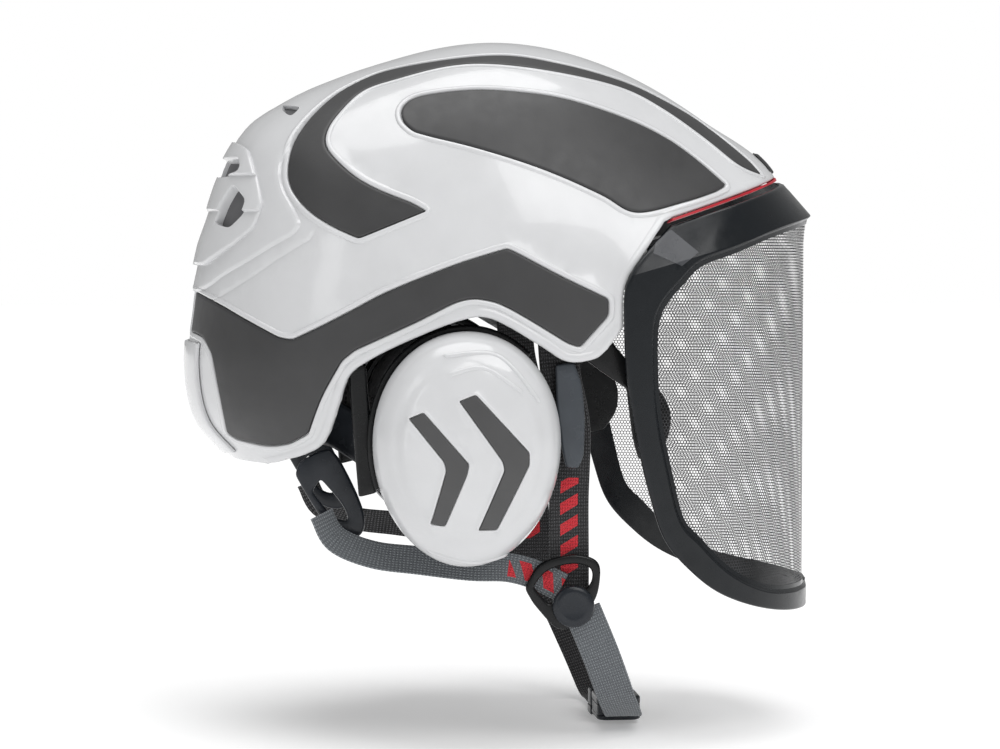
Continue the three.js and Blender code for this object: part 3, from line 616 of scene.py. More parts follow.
def new_piece(mesh, looks, body, nodes=(), sharp=SHARP_ANGLE):
    """A piece that rides on a body. One called NODE_look stands for the CAD node NODE."""
    mesh.shade_smooth()
    mesh.set_sharp_from_angle(angle=math.radians(sharp))
    for look in looks:
        mesh.materials.append(MATERIALS[look])
    piece = bpy.data.objects.new(mesh.name, mesh)
    bpy.context.scene.collection.objects.link(piece)
    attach(piece, body)
    if mesh.name.endswith("_look"):
        nodes = [mesh.name.removesuffix("_look")]
    if nodes:
        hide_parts(*nodes)
    return piece


def add(name, shape, looks, body="shell", nodes=(), sharp=SHARP_ANGLE):
    """A solid piece, with its doubled vertices joined and its faces turned outwards."""
    mesh = new_mesh(name, *shape)
    work = bmesh.new()
    work.from_mesh(mesh)
    bmesh.ops.remove_doubles(work, verts=work.verts, dist=1e-6)
    bmesh.ops.recalc_face_normals(work, faces=work.faces)
    work.to_mesh(mesh)
    work.free()
    return new_piece(mesh, looks, body, nodes, sharp)


def add_pair(name, shape, looks, body="shell"):
    """A right-hand piece and its mirror image; {side} in the name and the body gives the side."""
    return [add(name.format(side=side), form, looks, body.format(side=side))
            for side, form in (("right", shape), ("left", reflected(*shape)))]


# ---------------------------------------------------------------- materials
def new_material(name, colour, roughness, **sockets):
    material = bpy.data.materials.new(name)
    material.use_nodes = True
    shader = material.node_tree.nodes["Principled BSDF"]
    shader.inputs["Base Color"].default_value = (*colour, 1)
    shader.inputs["Roughness"].default_value = roughness
    for socket, value in sockets.items():
        shader.inputs[socket.replace("_", " ")].default_value = value
    return material, material.node_tree, shader


def coordinates(tree, kind):
    return tree.nodes.new("ShaderNodeTexCoord").outputs[kind]


def noise(tree, scale, detail):
    """A noise texture's value, with its grain given per metre."""
    texture = tree.nodes.new("ShaderNodeTexNoise")
    texture.inputs["Scale"].default_value = scale
    texture.inputs["Detail"].default_value = detail
    tree.links.new(coordinates(tree, "Object"), texture.inputs["Vector"])
    return texture.outputs["Fac"]


def ramp(tree, value, low, high, start=0.3, end=0.7):
    """Maps a texture value to a range of numbers or colours."""
    if isinstance(low, (int, float)):
        node = tree.nodes.new("ShaderNodeMapRange")
        for socket, number in zip(("From Min", "From Max", "To Min", "To Max"), (start, end, low, high)):
            node.inputs[socket].default_value = number
        tree.links.new(value, node.inputs["Value"])
        return node.outputs["Result"]
    node = tree.nodes.new("ShaderNodeValToRGB")
    for element, place, colour in zip(node.color_ramp.elements, (start, end), (low, high)):
        element.position = place
        element.color = (*colour, 1)
    tree.links.new(value, node.inputs["Fac"])
    return node.outputs["Color"]


def drive(tree, shader, socket, value, low, high, start=0.3, end=0.7):
    """Lets a texture value set one of a shader's sockets, within a range."""
    tree.links.new(ramp(tree, value, low, high, start, end), shader.inputs[socket])


def bump(tree, shader, value, height):
    """Relief of a given height in metres."""
    node = tree.nodes.new("ShaderNodeBump")
    node.inputs["Distance"].default_value = height
    node.inputs["Strength"].default_value = 1
    tree.links.new(value, node.inputs["Height"])
    tree.links.new(node.outputs["Normal"], shader.inputs["Normal"])


def arithmetic(tree, operation, first, second=None):
    node = tree.nodes.new("ShaderNodeMath")
    node.operation = operation
    for socket, value in zip(node.inputs, (first, second)):
        if isinstance(value, (int, float)):
            socket.default_value = value
        elif value is not None:
            tree.links.new(value, socket)
    return node.outputs["Value"]


def moulded(name, colour, roughness, grain, relief, spread, vary=0.12, coat=0.0, specular=0.5):
    """Moulded plastic: a fine grain, a slightly uneven gloss and faint handling marks."""
    material, tree, shader = new_material(name, colour, roughness, Coat_Weight=coat,
                                          Specular_IOR_Level=specular)
    dark = tuple(c * (1 - vary) for c in colour)
    light = tuple(min(1, c * (1 + vary)) for c in colour)
    drive(tree, shader, "Base Color", noise(tree, 55, 5), dark, light)
    drive(tree, shader, "Roughness", noise(tree, 140, 4), roughness - spread, roughness + spread)
    bump(tree, shader, noise(tree, grain, 2), relief)
    return material


def steel_mesh():
    """Etched steel sheet with a worn black coat."""
    material, tree, shader = new_material("visor_mesh_steel", (0.02, 0.02, 0.022), 0.45, Metallic=0.6)
    drive(tree, shader, "Base Color", noise(tree, 90, 4), (0.014, 0.014, 0.015), (0.06, 0.06, 0.064))
    drive(tree, shader, "Roughness", noise(tree, 400, 2), 0.38, 0.55)
    return material


def cells(tree, scale, **settings):
    """Distance value of a cell texture."""
    node = tree.nodes.new("ShaderNodeTexVoronoi")
    node.feature = settings.get("feature", "F1")
    node.inputs["Scale"].default_value = scale
    node.inputs["Randomness"].default_value = settings.get("randomness", 1)
    tree.links.new(coordinates(tree, "Object"), node.inputs["Vector"])
    return node.outputs["Distance"]


def textile(name):
    """Perforated padding cloth: round holes over a fine knit."""
    material, tree, shader = new_material(name, (0.02, 0.02, 0.022), 0.9, Sheen_Weight=0.25)
    dots = ramp(tree, cells(tree, 420, randomness=0.25), 0.0, 1.0, 0.25, 0.45)
    drive(tree, shader, "Base Color", dots, (0.004, 0.004, 0.004), (0.035, 0.033, 0.034), 0.1, 0.9)
    fibre = arithmetic(tree, "MULTIPLY_ADD", noise(tree, 3000, 2), 0.35)
    bump(tree, shader, arithmetic(tree, "ADD", dots, fibre), 0.0004)
    return material


def leatherette(name):
    """Soft coated cloth with fine creases."""
    material, tree, shader = new_material(name, (0.015, 0.015, 0.016), 0.5, Sheen_Weight=0.15)
    creases = ramp(tree, cells(tree, 900, feature="DISTANCE_TO_EDGE"), 0.0, 1.0, 0.0, 0.12)
    drive(tree, shader, "Base Color", noise(tree, 60, 4), (0.010, 0.010, 0.011), (0.026, 0.026, 0.028))
    drive(tree, shader, "Roughness", noise(tree, 200, 3), 0.42, 0.6)
    bump(tree, shader, creases, 0.0002)
    return material


def uv_parts(tree):
    """Distance across and along a strap, in metres."""
    split = tree.nodes.new("ShaderNodeSeparateXYZ")
    tree.links.new(coordinates(tree, "UV"), split.inputs["Vector"])
    return split.outputs["X"], split.outputs["Y"]


def wave(tree, value, pitch):
    """A wave from 0 to 1 along a distance in metres."""
    turns = arithmetic(tree, "SINE", arithmetic(tree, "MULTIPLY", value, 2 * math.pi / pitch))
    return arithmetic(tree, "MULTIPLY_ADD", turns, 0.5)


RIB_PITCH = 0.0017                      # webbing sizes in metres
YARN_PITCH = 0.0012
DASH_PITCH = 0.0105
DASH_SHARE = 0.55
DASH_HALF_WIDTH = 0.0042
DASH_SLANT = 0.6
FRONT_DASHES = (0.074, 0.122)           # where the dashes start and end along each strap
REAR_DASHES = (0.098, 0.128)


def webbing(name, dark, light, roughness, dash_range=None):
    """Woven strap: ribs across, yarns along, light specks and optional red dashes."""
    material, tree, shader = new_material(name, dark, roughness, Sheen_Weight=0.2)
    across, along = uv_parts(tree)
    weave = arithmetic(tree, "MULTIPLY", wave(tree, along, RIB_PITCH), wave(tree, across, YARN_PITCH))
    specks = arithmetic(tree, "MULTIPLY_ADD", noise(tree, 1500, 3), 0.8)
    colour = ramp(tree, arithmetic(tree, "MULTIPLY", weave, specks), dark, light, 0.05, 0.75)
    if dash_range:
        colour = with_dashes(tree, colour, across, along, dash_range)
    tree.links.new(colour, shader.inputs["Base Color"])
    drive(tree, shader, "Roughness", noise(tree, 300, 3), roughness - 0.1, min(1, roughness + 0.08))
    bump(tree, shader, weave, 0.0005)
    return material


def with_dashes(tree, colour, across, along, dash_range):
    """Lays slanted red dashes along the middle of a strap between two distances along it."""
    slanted = arithmetic(tree, "ADD", along, arithmetic(tree, "MULTIPLY", across, DASH_SLANT))
    place = arithmetic(tree, "FRACT", arithmetic(tree, "DIVIDE", slanted, DASH_PITCH))
    limits = [("LESS_THAN", place, DASH_SHARE),
              ("LESS_THAN", arithmetic(tree, "ABSOLUTE", across), DASH_HALF_WIDTH),
              ("GREATER_THAN", along, dash_range[0]), ("LESS_THAN", along, dash_range[1])]
    mask = 1
    for limit in limits:
        mask = arithmetic(tree, "MULTIPLY", arithmetic(tree, *limit), mask)
    mix = tree.nodes.new("ShaderNodeMix")
    mix.data_type = "RGBA"
    thread = ramp(tree, noise(tree, 2500, 2), (0.42, 0.01, 0.02), (0.75, 0.03, 0.045))
    for socket, value in ((0, mask), (6, colour), (7, thread)):
        tree.links.new(value, mix.inputs[socket])
    return mix.outputs[2]


def make_materials():
    """All materials by look. Plastics give name, colour, roughness, grain, relief, spread and variation."""
    black_yarn, black_light = (0.012, 0.012, 0.013), (0.10, 0.10, 0.105)
    grey_yarn, grey_light = (0.10, 0.11, 0.12), (0.26, 0.28, 0.30)
    return {
        "white": moulded("shell_white", (0.63, 0.635, 0.645), 0.2, 260, 0.00002, 0.05, 0.025, coat=0.35),
        "insert": moulded("panel_grey", (0.037, 0.037, 0.038), 0.46, 2600, 0.00003, 0.05, 0.07),
        # painted shade: the dark sheets at the bottom of the rear vents
        "shadow": moulded("vent_screen_grey", (0.10, 0.10, 0.105), 0.6, 2000, 0.00005, 0.05),
        "chevron": moulded("chevron_grey", (0.062, 0.062, 0.063), 0.4, 2600, 0.00003, 0.05, 0.07),
        "charcoal": moulded("charcoal_plastic", (0.015, 0.018, 0.023), 0.24, 1800, 0.00003, 0.07,
                            specular=0.32),
        # The strap guides' charcoal is lighter than the other charcoal parts: partly their blue-grey tone,
        # partly painted highlight.
        "guide": moulded("strap_guide_charcoal", (0.055, 0.063, 0.073), 0.24, 1800, 0.00003, 0.07,
                         specular=0.32),
        "visor": moulded("visor_anthracite", (0.006, 0.0078, 0.0098), 0.22, 2200, 0.00002, 0.06,
                         specular=0.32),
        # painted highlight: a lighter copy of the visor plastic for the flat corner facet, standing in for
        # the light that facet reflects
        "facet": moulded("visor_facet_painted_highlight", (0.055, 0.058, 0.064), 0.3, 2200, 0.00002, 0.05, specular=0.4),
        "black": moulded("black_plastic", (0.004, 0.0045, 0.005), 0.28, 1800, 0.00003, 0.08, specular=0.3),
        "liner": moulded("liner_black", (0.009, 0.010, 0.011), 0.6, 1200, 0.00008, 0.08),
        "thread": moulded("stitching_thread", (0.16, 0.16, 0.165), 0.8, 3000, 0.0001, 0.06),
        "red": moulded("seal_red", (0.45, 0.009, 0.022), 0.42, 1500, 0.00003, 0.05),
        "steel": steel_mesh(),
        "pad": textile("padding_textile"),
        "ear": leatherette("ear_pad"),
        "black_web": webbing("webbing_black", black_yarn, black_light, 0.9),
        "grey_web": webbing("webbing_grey", grey_yarn, grey_light, 0.75),
        "black_dashed": webbing("webbing_black_dashed", (0.010, 0.010, 0.011), (0.075, 0.075, 0.08), 0.85,
                                FRONT_DASHES),
        "grey_dashed": webbing("webbing_grey_dashed", grey_yarn, (0.27, 0.29, 0.31), 0.75, REAR_DASHES),
    }


# ---------------------------------------------------------------- shell
DOME = Dome(DOME_RADII)
LINER = Dome(LINER_RADII)
VISOR = Visor()


def rounded_edge(depth, radius):
    """Drop of a rounded edge at a distance in from it."""
    inward = np.clip(radius - depth, 0, radius)
    return radius - np.sqrt(radius ** 2 - inward ** 2)


def bead(gap):
    """Height of the raised line beside an insert, at a distance out from the insert's edge."""
    half = BEAD_WIDTH / 2
    return BEAD_HEIGHT * np.sqrt(np.clip(1 - ((gap - half) / half) ** 2, 0, 1))


def insert_loops():
    return {name: DOME.flat(closed_outline(shape), PANEL_MARGIN) for name, shape in INSERTS.items()}


def add_shell():
    loops = insert_loops()
    keep = DOME.flat(closed_outline([*SHELL_EDGE, *SHELL_CLOSING], 2, 0))
    edge = DOME.flat(np.vstack([spline(stretch, 1.5) for stretch in SHELL_EDGE]))
    lines = []
    for loop in loops.values():
        lines += lanes(DOME, loop, (-0.8, -0.25, 0, 0.3, 0.8, 1.3, 1.8, 2.3, BEAD_WIDTH, 3.2))
    lines += lanes(DOME, edge, (-0.3, -0.8, -1.5, -3.2, -3.7, -4.2), closed=False)
    platform = away_from_rim(refined(DOME.flat(closed_outline(PLATFORM)), 2))
    crease = DOME.flat(spline(CREASE_LINE, 1.5))
    lines += lanes(DOME, platform, (-3, -1.2, -0.5, 0, 0.5, 1.0), closed=False)
    lines += lanes(DOME, crease, (-0.8, -0.3, 0.3, 0.8), closed=False)
    vents = [refined(DOME.flat(closed_outline(shape)), 1.5) for shape in REAR_VENTS.values()]
    for vent in vents:
        lines += [*lanes(DOME, vent, (-0.3,)), (vent, True)]
    flat, triangles = triangulate(keep, [], lines, 4.5)
    height = platform_height(platform, flat)
    crease_depth, crease_half_width = CREASE
    share = distance(DOME, crease, flat, closed=False) / crease_half_width
    height -= crease_depth * np.clip(1 - share, 0, 1)
    for loop in loops.values():
        gap = distance(DOME, loop, flat)
        height = np.where(gap < -POCKET_SLOPE, -POCKET, height + bead(gap))
    for vent in vents:
        height = np.where(distance(DOME, vent, flat) < -POCKET_SLOPE, -REAR_VENT_DEPTH, height)
    depth = distance(DOME, edge, flat, closed=False)
    edge_drop = rounded_edge(depth, EDGE_RADIUS)
    height += np.interp(depth, *RIM_LINE) - edge_drop
    shape = both_halves(*sheet(DOME, flat, triangles, height, edge_drop - SHELL_WALL))
    add("outer_shell_look", shape, ["white"])


def away_from_rim(loop):
    """The part of a dome loop that is away from the middle plane, as an open line."""
    away = np.hypot(*loop.T) < Dome.rim - 0.3
    if away.all():
        return loop
    start = int(np.argmax(away & ~np.roll(away, 1)))
    turned = np.roll(loop, -start, 0)
    return turned[np.hypot(*turned.T) < Dome.rim - 0.3]


def height_up(flat):
    """Height u of flat points on the dome."""
    return DOME.place(flat, 0)[:, 2] + SEAT_HEIGHT


def platform_height(border, flat):
    """Height of the raised rear of the crown: full behind its border and fading towards middle and top."""
    whole = refined(DOME.flat(closed_outline(PLATFORM)), 2)
    gap = distance(DOME, border, flat, closed=False)
    gap = np.where(inside(whole, flat), -gap, gap)
    fade = np.interp(height_up(flat), PLATFORM_FADE, (1, 0))
    return PLATFORM_HEIGHT * fade * np.interp(gap, *PLATFORM_RIDGE)


def dome_piece(surface, loop, lift, sink, spacing=4.5, radius=0.8):
    """A plate that follows a surface inside a loop, with rounded upper edges."""
    lines = lanes(surface, loop, (-0.12, -0.3, -radius, -2 * radius))
    flat, triangles = triangulate(loop, [], lines, spacing)
    depth = -distance(surface, loop, flat)
    top = lift - rounded_edge(np.maximum(depth, 0), radius)
    return sheet(surface, flat, triangles, top, sink)


def add_inserts():
    for name, loop in insert_loops().items():
        shape = dome_piece(DOME, row(DOME, loop, -INSERT_GAP), *INSERT_FACES)
        add_pair(name + "_{side}_look", shape, ["insert"])


def middle_plate(outline, half_width, lift, radius=1.0):
    """A plate on the dome's middle, as wide as half_width on each side."""
    loop = DOME.flat(outline)
    limit = math.acos((half_width / HALF_WIDTH) ** (WIDTH_POWER / 2)) * DOME_SCALE
    outward = loop[np.hypot(*loop.T) > Dome.rim - 0.5]
    angles = np.sort(np.arctan2(outward[:, 1], outward[:, 0]) % (2 * math.pi))
    arc = np.linspace(angles[0], angles[-1], max(8, int(len(angles) / 2)))
    ring = np.column_stack([np.cos(arc), np.sin(arc)])
    loop = refined(counterclockwise(np.vstack([ring * Dome.rim, ring[::-1] * limit])), 2)
    flat, triangles = triangulate(loop, [], lanes(DOME, loop, (-0.3, -radius, -2 * radius)), 4)
    border = loop[np.hypot(*loop.T) < Dome.rim - 0.3]
    top = lift - rounded_edge(distance(DOME, border, flat, closed=False), radius)
    return both_halves(*sheet(DOME, flat, triangles, top, FITTING_UNDERSIDE))


def gilled_cover():
    """The rear vent cover: stepped like gills, each step proud at its lower edge, with vents cut through."""
    loop = refined(DOME.flat(closed_outline(REAR_COVER)), 2)
    holes = [refined(DOME.flat(closed_outline(REAR_VENTS[name])), 1.5) for name in ("upper", "middle")]
    borders = [away_from_rim(line) for line in (loop, *holes)]
    lines = []
    for border, side in zip(borders, (-1, 1, 1)):
        lines += lanes(DOME, border, (side * 0.3, side * 0.7, side * 1.2), closed=False)
    for step in (1, 2):
        for offset in (-0.25, 0.25):
            level = GILL_TOP - step * GILL_PITCH + offset
            lines.append((DOME.flat(spline([(-150, level), (-90, level)], 2)), False))
    flat, triangles = triangulate(loop, holes, lines, 3.5)
    depth = np.minimum.reduce([distance(DOME, line, flat, closed=False) for line in borders])
    share = np.clip((GILL_TOP - height_up(flat)) / GILL_PITCH, 0, 2.999) % 1
    top = PLATFORM_HEIGHT + COVER_LIFT + GILL_SLOPE * share - rounded_edge(depth, EDGE_RADIUS)
    return both_halves(*sheet(DOME, flat, triangles, top, COVER_UNDERSIDE))


def add_shell_fittings():
    add("rear_vent_cover_look", gilled_cover(), ["white"])
    # A dark sheet in each vent recess is painted shade for the shadowed inside of the opening.
    for name, shape in REAR_VENTS.items():
        flat, triangles = triangulate(refined(DOME.flat(closed_outline(shape)), 1.5), [], [], 3)
        shade_sheet = both_halves(*sheet(DOME, flat, triangles, *SHADE_SHEET_FACES))
        add(f"rear_vent_painted_shade_{name}", shade_sheet, ["shadow"])
    bumper = middle_plate(closed_outline(BUMPER, 1.5, 0), BUMPER_HALF_WIDTH, BUMPER_LIFT, EDGE_RADIUS)
    add("rear_bumper_look", bumper, ["white"])
    catch = middle_plate(closed_outline(CATCH, 1.5, 0), CATCH_HALF_WIDTH, CATCH_LIFT)
    add("front_catch_look", catch, ["insert"])
    flat, triangles = triangulate(DOME.flat(closed_outline(SEAL, 1.5, 0)), [], [], 3)
    add("front_seal_look", both_halves(*sheet(DOME, flat, triangles, SEAL_LIFT, -SHELL_WALL)), ["red"])


def add_liner():
    keep = LINER.flat(closed_outline(LINER_EDGE, 2, 0))
    flat, triangles = triangulate(keep, [], lanes(LINER, keep, (-1,)), 4)
    add("inner_liner_look", both_halves(*sheet(LINER, flat, triangles, *LINER_FACES)), ["liner"])


# ---------------------------------------------------------------- visor
def open_part(loop):
    """The part of a visor loop that is away from the middle plane, as an open line."""
    away = loop[:, 0] < -0.05
    start = int(np.argmax(away & ~np.roll(away, 1)))
    turned = np.roll(loop, -start, 0)
    return turned[turned[:, 0] < -0.05]


def crease_line():
    side = np.linspace(-VISOR.span, 0, 90)
    u = np.zeros(90)
    for _ in range(4):
        place = VISOR.place(np.column_stack([side, u]), 0)
        u = VISOR.crease(-place[:, 1])
    return np.column_stack([side, u])


def add_visor():
    keep = VISOR.flat(closed_outline(VISOR_FRAME, 2, 1))
    window = VISOR.flat(closed_outline(VISOR_WINDOW, 2, 1))
    keep[keep[:, 0] > -1e-3, 0] = 0
    window[window[:, 0] > -1e-3, 0] = 0
    facet_loop = VISOR.flat(polygon([*VISOR_FACET, *FACET_TOP], 2, 0))
    lines = lanes(VISOR, keep, (-0.2, -0.6, -1.2, -2.2)) + lanes(VISOR, window, (0.25, 2.0, 3.6, 4.0))
    lines += [(crease_line(), False), (facet_loop, True)]
    lines = [(clamp_to_middle(line), closed) for line, closed in lines]
    flat, triangles = triangulate(keep, [window], lines, 3)
    outer_gap = distance(VISOR, open_part(keep), flat, closed=False)
    window_gap = distance(VISOR, open_part(window), flat, closed=False)
    facet = -VISOR_FACET_SLOPE * facet_depth(flat)
    top = facet - rounded_edge(outer_gap, 1.0) - np.interp(window_gap, *WINDOW_BEVEL)
    bottom = -VISOR_WALL + rounded_edge(outer_gap, 0.8)
    shape = both_halves(*sheet(VISOR, flat, triangles, top, bottom))
    piece = add("visor_frame_look", shape, ["visor", "facet"], "visor", sharp=VISOR_SHARP_ANGLE)
    # The faces inside the corner facet take the lighter look, a painted highlight.
    half = len(piece.data.polygons) // 2
    painted_highlight = np.zeros(2 * half, np.int32)
    for start in (0, half):
        painted_highlight[start:start + len(triangles)] = inside(facet_loop, flat[triangles].mean(1))
    piece.data.polygons.foreach_set("material_index", painted_highlight)
    add_visor_mesh(window)


def facet_depth(flat):
    """How far flat points lie within the corner that is cut off flat where band and peak meet."""
    start, corner, end = VISOR.flat(np.array(VISOR_FACET))
    depths = []
    for a, b in ((start, corner), (corner, end)):
        ahead = (b - a) / np.linalg.norm(b - a)
        depths.append((flat - a) @ (-ahead[1], ahead[0]))
    return np.maximum(0, np.minimum(*depths))


def clamp_to_middle(line):
    line = line.copy()
    line[:, 0] = np.minimum(line[:, 0], 0)
    return line


def add_visor_mesh(window):
    """A honeycomb of thin bars: each cell is a six-sided ring. The right half also has the middle cells."""
    edge = row(VISOR, window, 2.5)
    edge = np.where(edge > (-0.5, -math.inf), (MESH_PITCH, 0) + edge * (0, 1), edge)
    rise = MESH_PITCH * math.sqrt(3) / 2
    columns = -MESH_PITCH * np.arange(VISOR.span // MESH_PITCH)
    levels = np.arange(edge[:, 1].min(), edge[:, 1].max(), rise)
    centres = np.array([(x - MESH_PITCH / 2 * (i % 2), u) for i, u in enumerate(levels) for x in columns])
    centres = centres[inside(edge, centres)]
    for side, cells in (("right", centres), ("left", centres[centres[:, 0] < 0])):
        shape = honeycomb(cells)
        if side == "left":
            shape = reflected(*shape)
        add(f"visor_mesh_{side}", shape, ["steel"], "visor", nodes=["visor_mesh"])


def honeycomb(centres):
    corners = np.radians(np.arange(6) * 60 + 30)
    around = np.column_stack([np.cos(corners), np.sin(corners)]) * MESH_PITCH / math.sqrt(3)
    opening = np.interp(centres[:, 0], (-VISOR.span / 2, 0), MESH_OPENING)[:, None, None]
    outer, inner = centres[:, None] + around, centres[:, None] + around * opening
    points = np.round(np.concatenate([outer, inner], 1).reshape(-1, 2), 3)
    points, index = np.unique(points, axis=0, return_inverse=True)
    index = index.reshape(-1, 12)
    faces = [(cell[k], cell[(k + 1) % 6], cell[(k + 1) % 6 + 6], cell[k + 6])
             for cell in index for k in range(6)]
    across = points[:, 0]
    spots = VISOR.place(np.column_stack([-np.abs(across), points[:, 1]]), -MESH_INSET)
    spots[:, 0] *= np.where(across > 0, -1, 1)
    return spots, faces


# ---------------------------------------------------------------- plates, lathes and ribbons
def plate(outline, near, far, radius=0.8, holes=(), spacing=5):
    """A plate parallel to the middle plane between two distances, with rounded edges on both faces."""
    surface = Plate(0)
    radius = min(radius, (far - near) / 2)
    lines = []
    for loop, sign in ((outline, -1), *((hole, 1) for hole in holes)):
        lines += lanes(surface, loop, [sign * share * radius for share in (0.12, 0.35, 0.7, 1)])
    flat, triangles = triangulate(outline, list(holes), lines, spacing)
    depth = -distance(surface, outline, flat)
    for hole in holes:
        depth = np.minimum(depth, distance(surface, hole, flat))
    drop = rounded_edge(np.maximum(depth, 0), radius)
    return sheet(surface, flat, triangles, far - drop, near + drop)


def ribbon(route, across, width, wall, step=2.0):
    """A strap along a route of (x, f, u), with its width in the direction that across gives for a share of
    its length. Returns its vertices and faces, and for each vertex its place across and along."""
    route = to_row(*spline(route, step).T)
    lengths = lengths_along(route)
    ahead = unit(np.gradient(route, axis=0))
    x, f, u = np.array([across(share) for share in lengths / lengths[-1]], float).T
    wide = np.column_stack([x, -f, u])
    wide = unit(wide - np.sum(wide * ahead, 1)[:, None] * ahead)
    thick = np.cross(ahead, wide)
    inward = np.sum(thick[:, 0] * route[:, 0]) < 0
    thick *= -1 if inward else 1
    section = np.array(strap_section(width, wall))
    vertices = route[:, None] + wide[:, None] * section[:, :1] + thick[:, None] * section[:, 1:]
    marks = np.column_stack([np.tile(section[:, 0], len(route)), np.repeat(lengths, len(section))])
    faces = skin(len(route), len(section))
    if inward:
        faces = [face[::-1] for face in faces]
    return (vertices.reshape(-1, 3), faces), marks


STRAP_SIDES = 18


def strap_section(width, wall):
    """Cross-section of a strap: thin, with slightly thicker woven edges."""
    half, edge = width / 2, wall / 2
    inner = edge * 0.8
    upper = [(-half, 0), (-half + 0.3, edge * 0.8), (-half + 1.0, edge), (-half + 2.0, inner),
             (-half / 3, inner), (half / 3, inner), (half - 2.0, inner), (half - 1.0, edge),
             (half - 0.3, edge * 0.8), (half, 0)]
    lower = [(a, -b) for a, b in upper[1:-1]][::-1]
    return upper + lower


def add_strap(name, shape, marks, looks):
    """A strap with its place across and along kept as texture coordinates, in metres. A second look is for
    the side that faces the head."""
    mesh = new_mesh(name, *shape)
    layer = mesh.uv_layers.new(name="strap")
    index = np.empty(len(mesh.loops), np.int32)
    mesh.loops.foreach_get("vertex_index", index)
    layer.data.foreach_set("uv", (marks[index] * MILLIMETRE).astype(np.float32).ravel())
    new_piece(mesh, looks, "shell", sharp=STRAP_SHARP_ANGLE)
    if len(looks) > 1:
        around = np.arange(len(mesh.polygons)) % STRAP_SIDES
        mesh.polygons.foreach_set("material_index", (around >= STRAP_SIDES // 2).astype(np.int32))


def add_strap_pair(name, route, across, width, looks):
    shape, marks = ribbon(route, across, width, STRAP_WALL)
    for side, form in (("right", shape), ("left", reflected(*shape))):
        add_strap(f"{name}_{side}_look", form, marks, looks)


def block(corner, opposite, radius=0.6):
    """A box with rounded edges between two corners, in row millimetres."""
    work = bmesh.new()
    bmesh.ops.create_cube(work, size=1)
    low, high = np.minimum(corner, opposite), np.maximum(corner, opposite)
    for vertex in work.verts:
        vertex.co = Vector((low + high) / 2 + np.array(vertex.co) * (high - low))
    bmesh.ops.bevel(work, geom=list(work.edges), offset=radius, segments=3, profile=0.5, affect="EDGES")
    work.verts.index_update()
    vertices = np.array([v.co for v in work.verts])
    faces = [tuple(v.index for v in face.verts) for face in work.faces]
    work.free()
    return vertices, faces


def turned(profile, place, segments=64):
    """A solid turned about an axis: profile is a closed list of (radius, distance), and place sends
    (radius cosine, radius sine, distance) to a point."""
    vertices, faces = [], []
    count = len(profile)
    for i in range(segments):
        turn = 2 * math.pi * i / segments
        vertices += [place(r * math.cos(turn), r * math.sin(turn), d) for r, d in profile]
    for i in range(segments):
        for k in range(count - 1):
            a, b = i * count + k, ((i + 1) % segments) * count + k
            faces.append((a, b, b + 1, a + 1))
    return np.array(vertices, float), faces


# ---------------------------------------------------------------- ear muffs
CUP_FACE = [(0, 25), (0.2, 24.9), (0.4, 24.3), (0.56, 23.3), (0.66, 22.2), (0.72, 21.0), (0.76, 19.2),
            (0.79, 18.2), (0.84, 17.0), (0.9, 14.0), (0.95, 10.0), (0.985, 5.5), (1.0, 2.5), (1.0, 0.6),
            (0.985, 0.0)]


def add_cups():
    cup = Cup(CUP_FACE)
    rim = np.linspace(0, 2 * math.pi, 160, endpoint=False)
    circle = np.column_stack([np.cos(rim), np.sin(rim)])
    total = cup.length[-1] - 1e-3
    loops = {name: cup.flat(polygon(points, 1.2, 2)) for name, points in CHEVRONS.items()}
    ridges = [cup.flat(spline(points, 1.2)) for points in CUP_RIDGES]
    lines = [(circle * (total - back), True) for back in (0.4, 0.8, 1.5, 2.5, 3.5, 5, 7, 9, 11, 13, 15, 17)]
    for loop in loops.values():
        lines += lanes(cup, loop, (-0.7, -0.2, 0, 0.3, 0.7, 1.2, 1.8))
    for ridge in ridges:
        lines += lanes(cup, ridge, (-1.2, -0.9, -0.4, 0, 0.4, 0.9, 1.2), closed=False)
    flat, triangles = triangulate(circle * total, [], lines, 2.5)
    height = np.zeros(len(flat))
    for ridge in ridges:
        share = distance(cup, ridge, flat, closed=False) / CUP_RIDGE_HALF_WIDTH
        height += CUP_RIDGE_HEIGHT * np.sqrt(np.clip(1 - share ** 2, 0, 1))
    for loop in loops.values():
        gap = distance(cup, loop, flat)
        height += CHEVRON_BEAD * np.interp(gap, (0, 0.35, 0.9, 1.8), (0.6, 1, 0.9, 0))
        height = np.where(gap < -0.1, -CHEVRON_POCKET, height)
    shape = sheet(cup, flat, triangles, height, -CUP_WALL)
    add_pair("cup_shell_{side}_look", shape, ["white"], "cup_{side}")
    for name, loop in loops.items():
        inlay = dome_piece(cup, row(cup, loop, -0.4), 0.25, -0.8, 3, 0.5)
        add_pair(name + "_{side}_look", inlay, ["chevron"], "cup_{side}")
    backing = egg_ring([(0.93, -0.4), (0.93, -2.2), (0.5, -2.2), (0.5, -0.4), (0.93, -0.4)])
    add_pair("cup_plate_{side}_look", backing, ["black"], "cup_{side}")


def egg_ring(profile):
    """A ring with the cup's outline; the profile is a closed list of (share, distance from the rim)."""
    def place(c, s, d):
        f, u = egg(math.hypot(c, s), math.atan2(s, c))
        return -(CUP_RIM + d), -f, u - SEAT_HEIGHT
    return turned(profile, place, 96)


CUSHION = [(0.57, -3.2), (0.58, -8), (0.61, -12), (0.66, -14.2), (0.73, -14.8), (0.79, -14.0), (0.84, -11.5),
           (0.865, -8), (0.865, -3.2), (0.57, -3.2)]
WELT = (0.875, 8.5, 0.9)                # share of the cup's outline, distance behind its rim, and radius


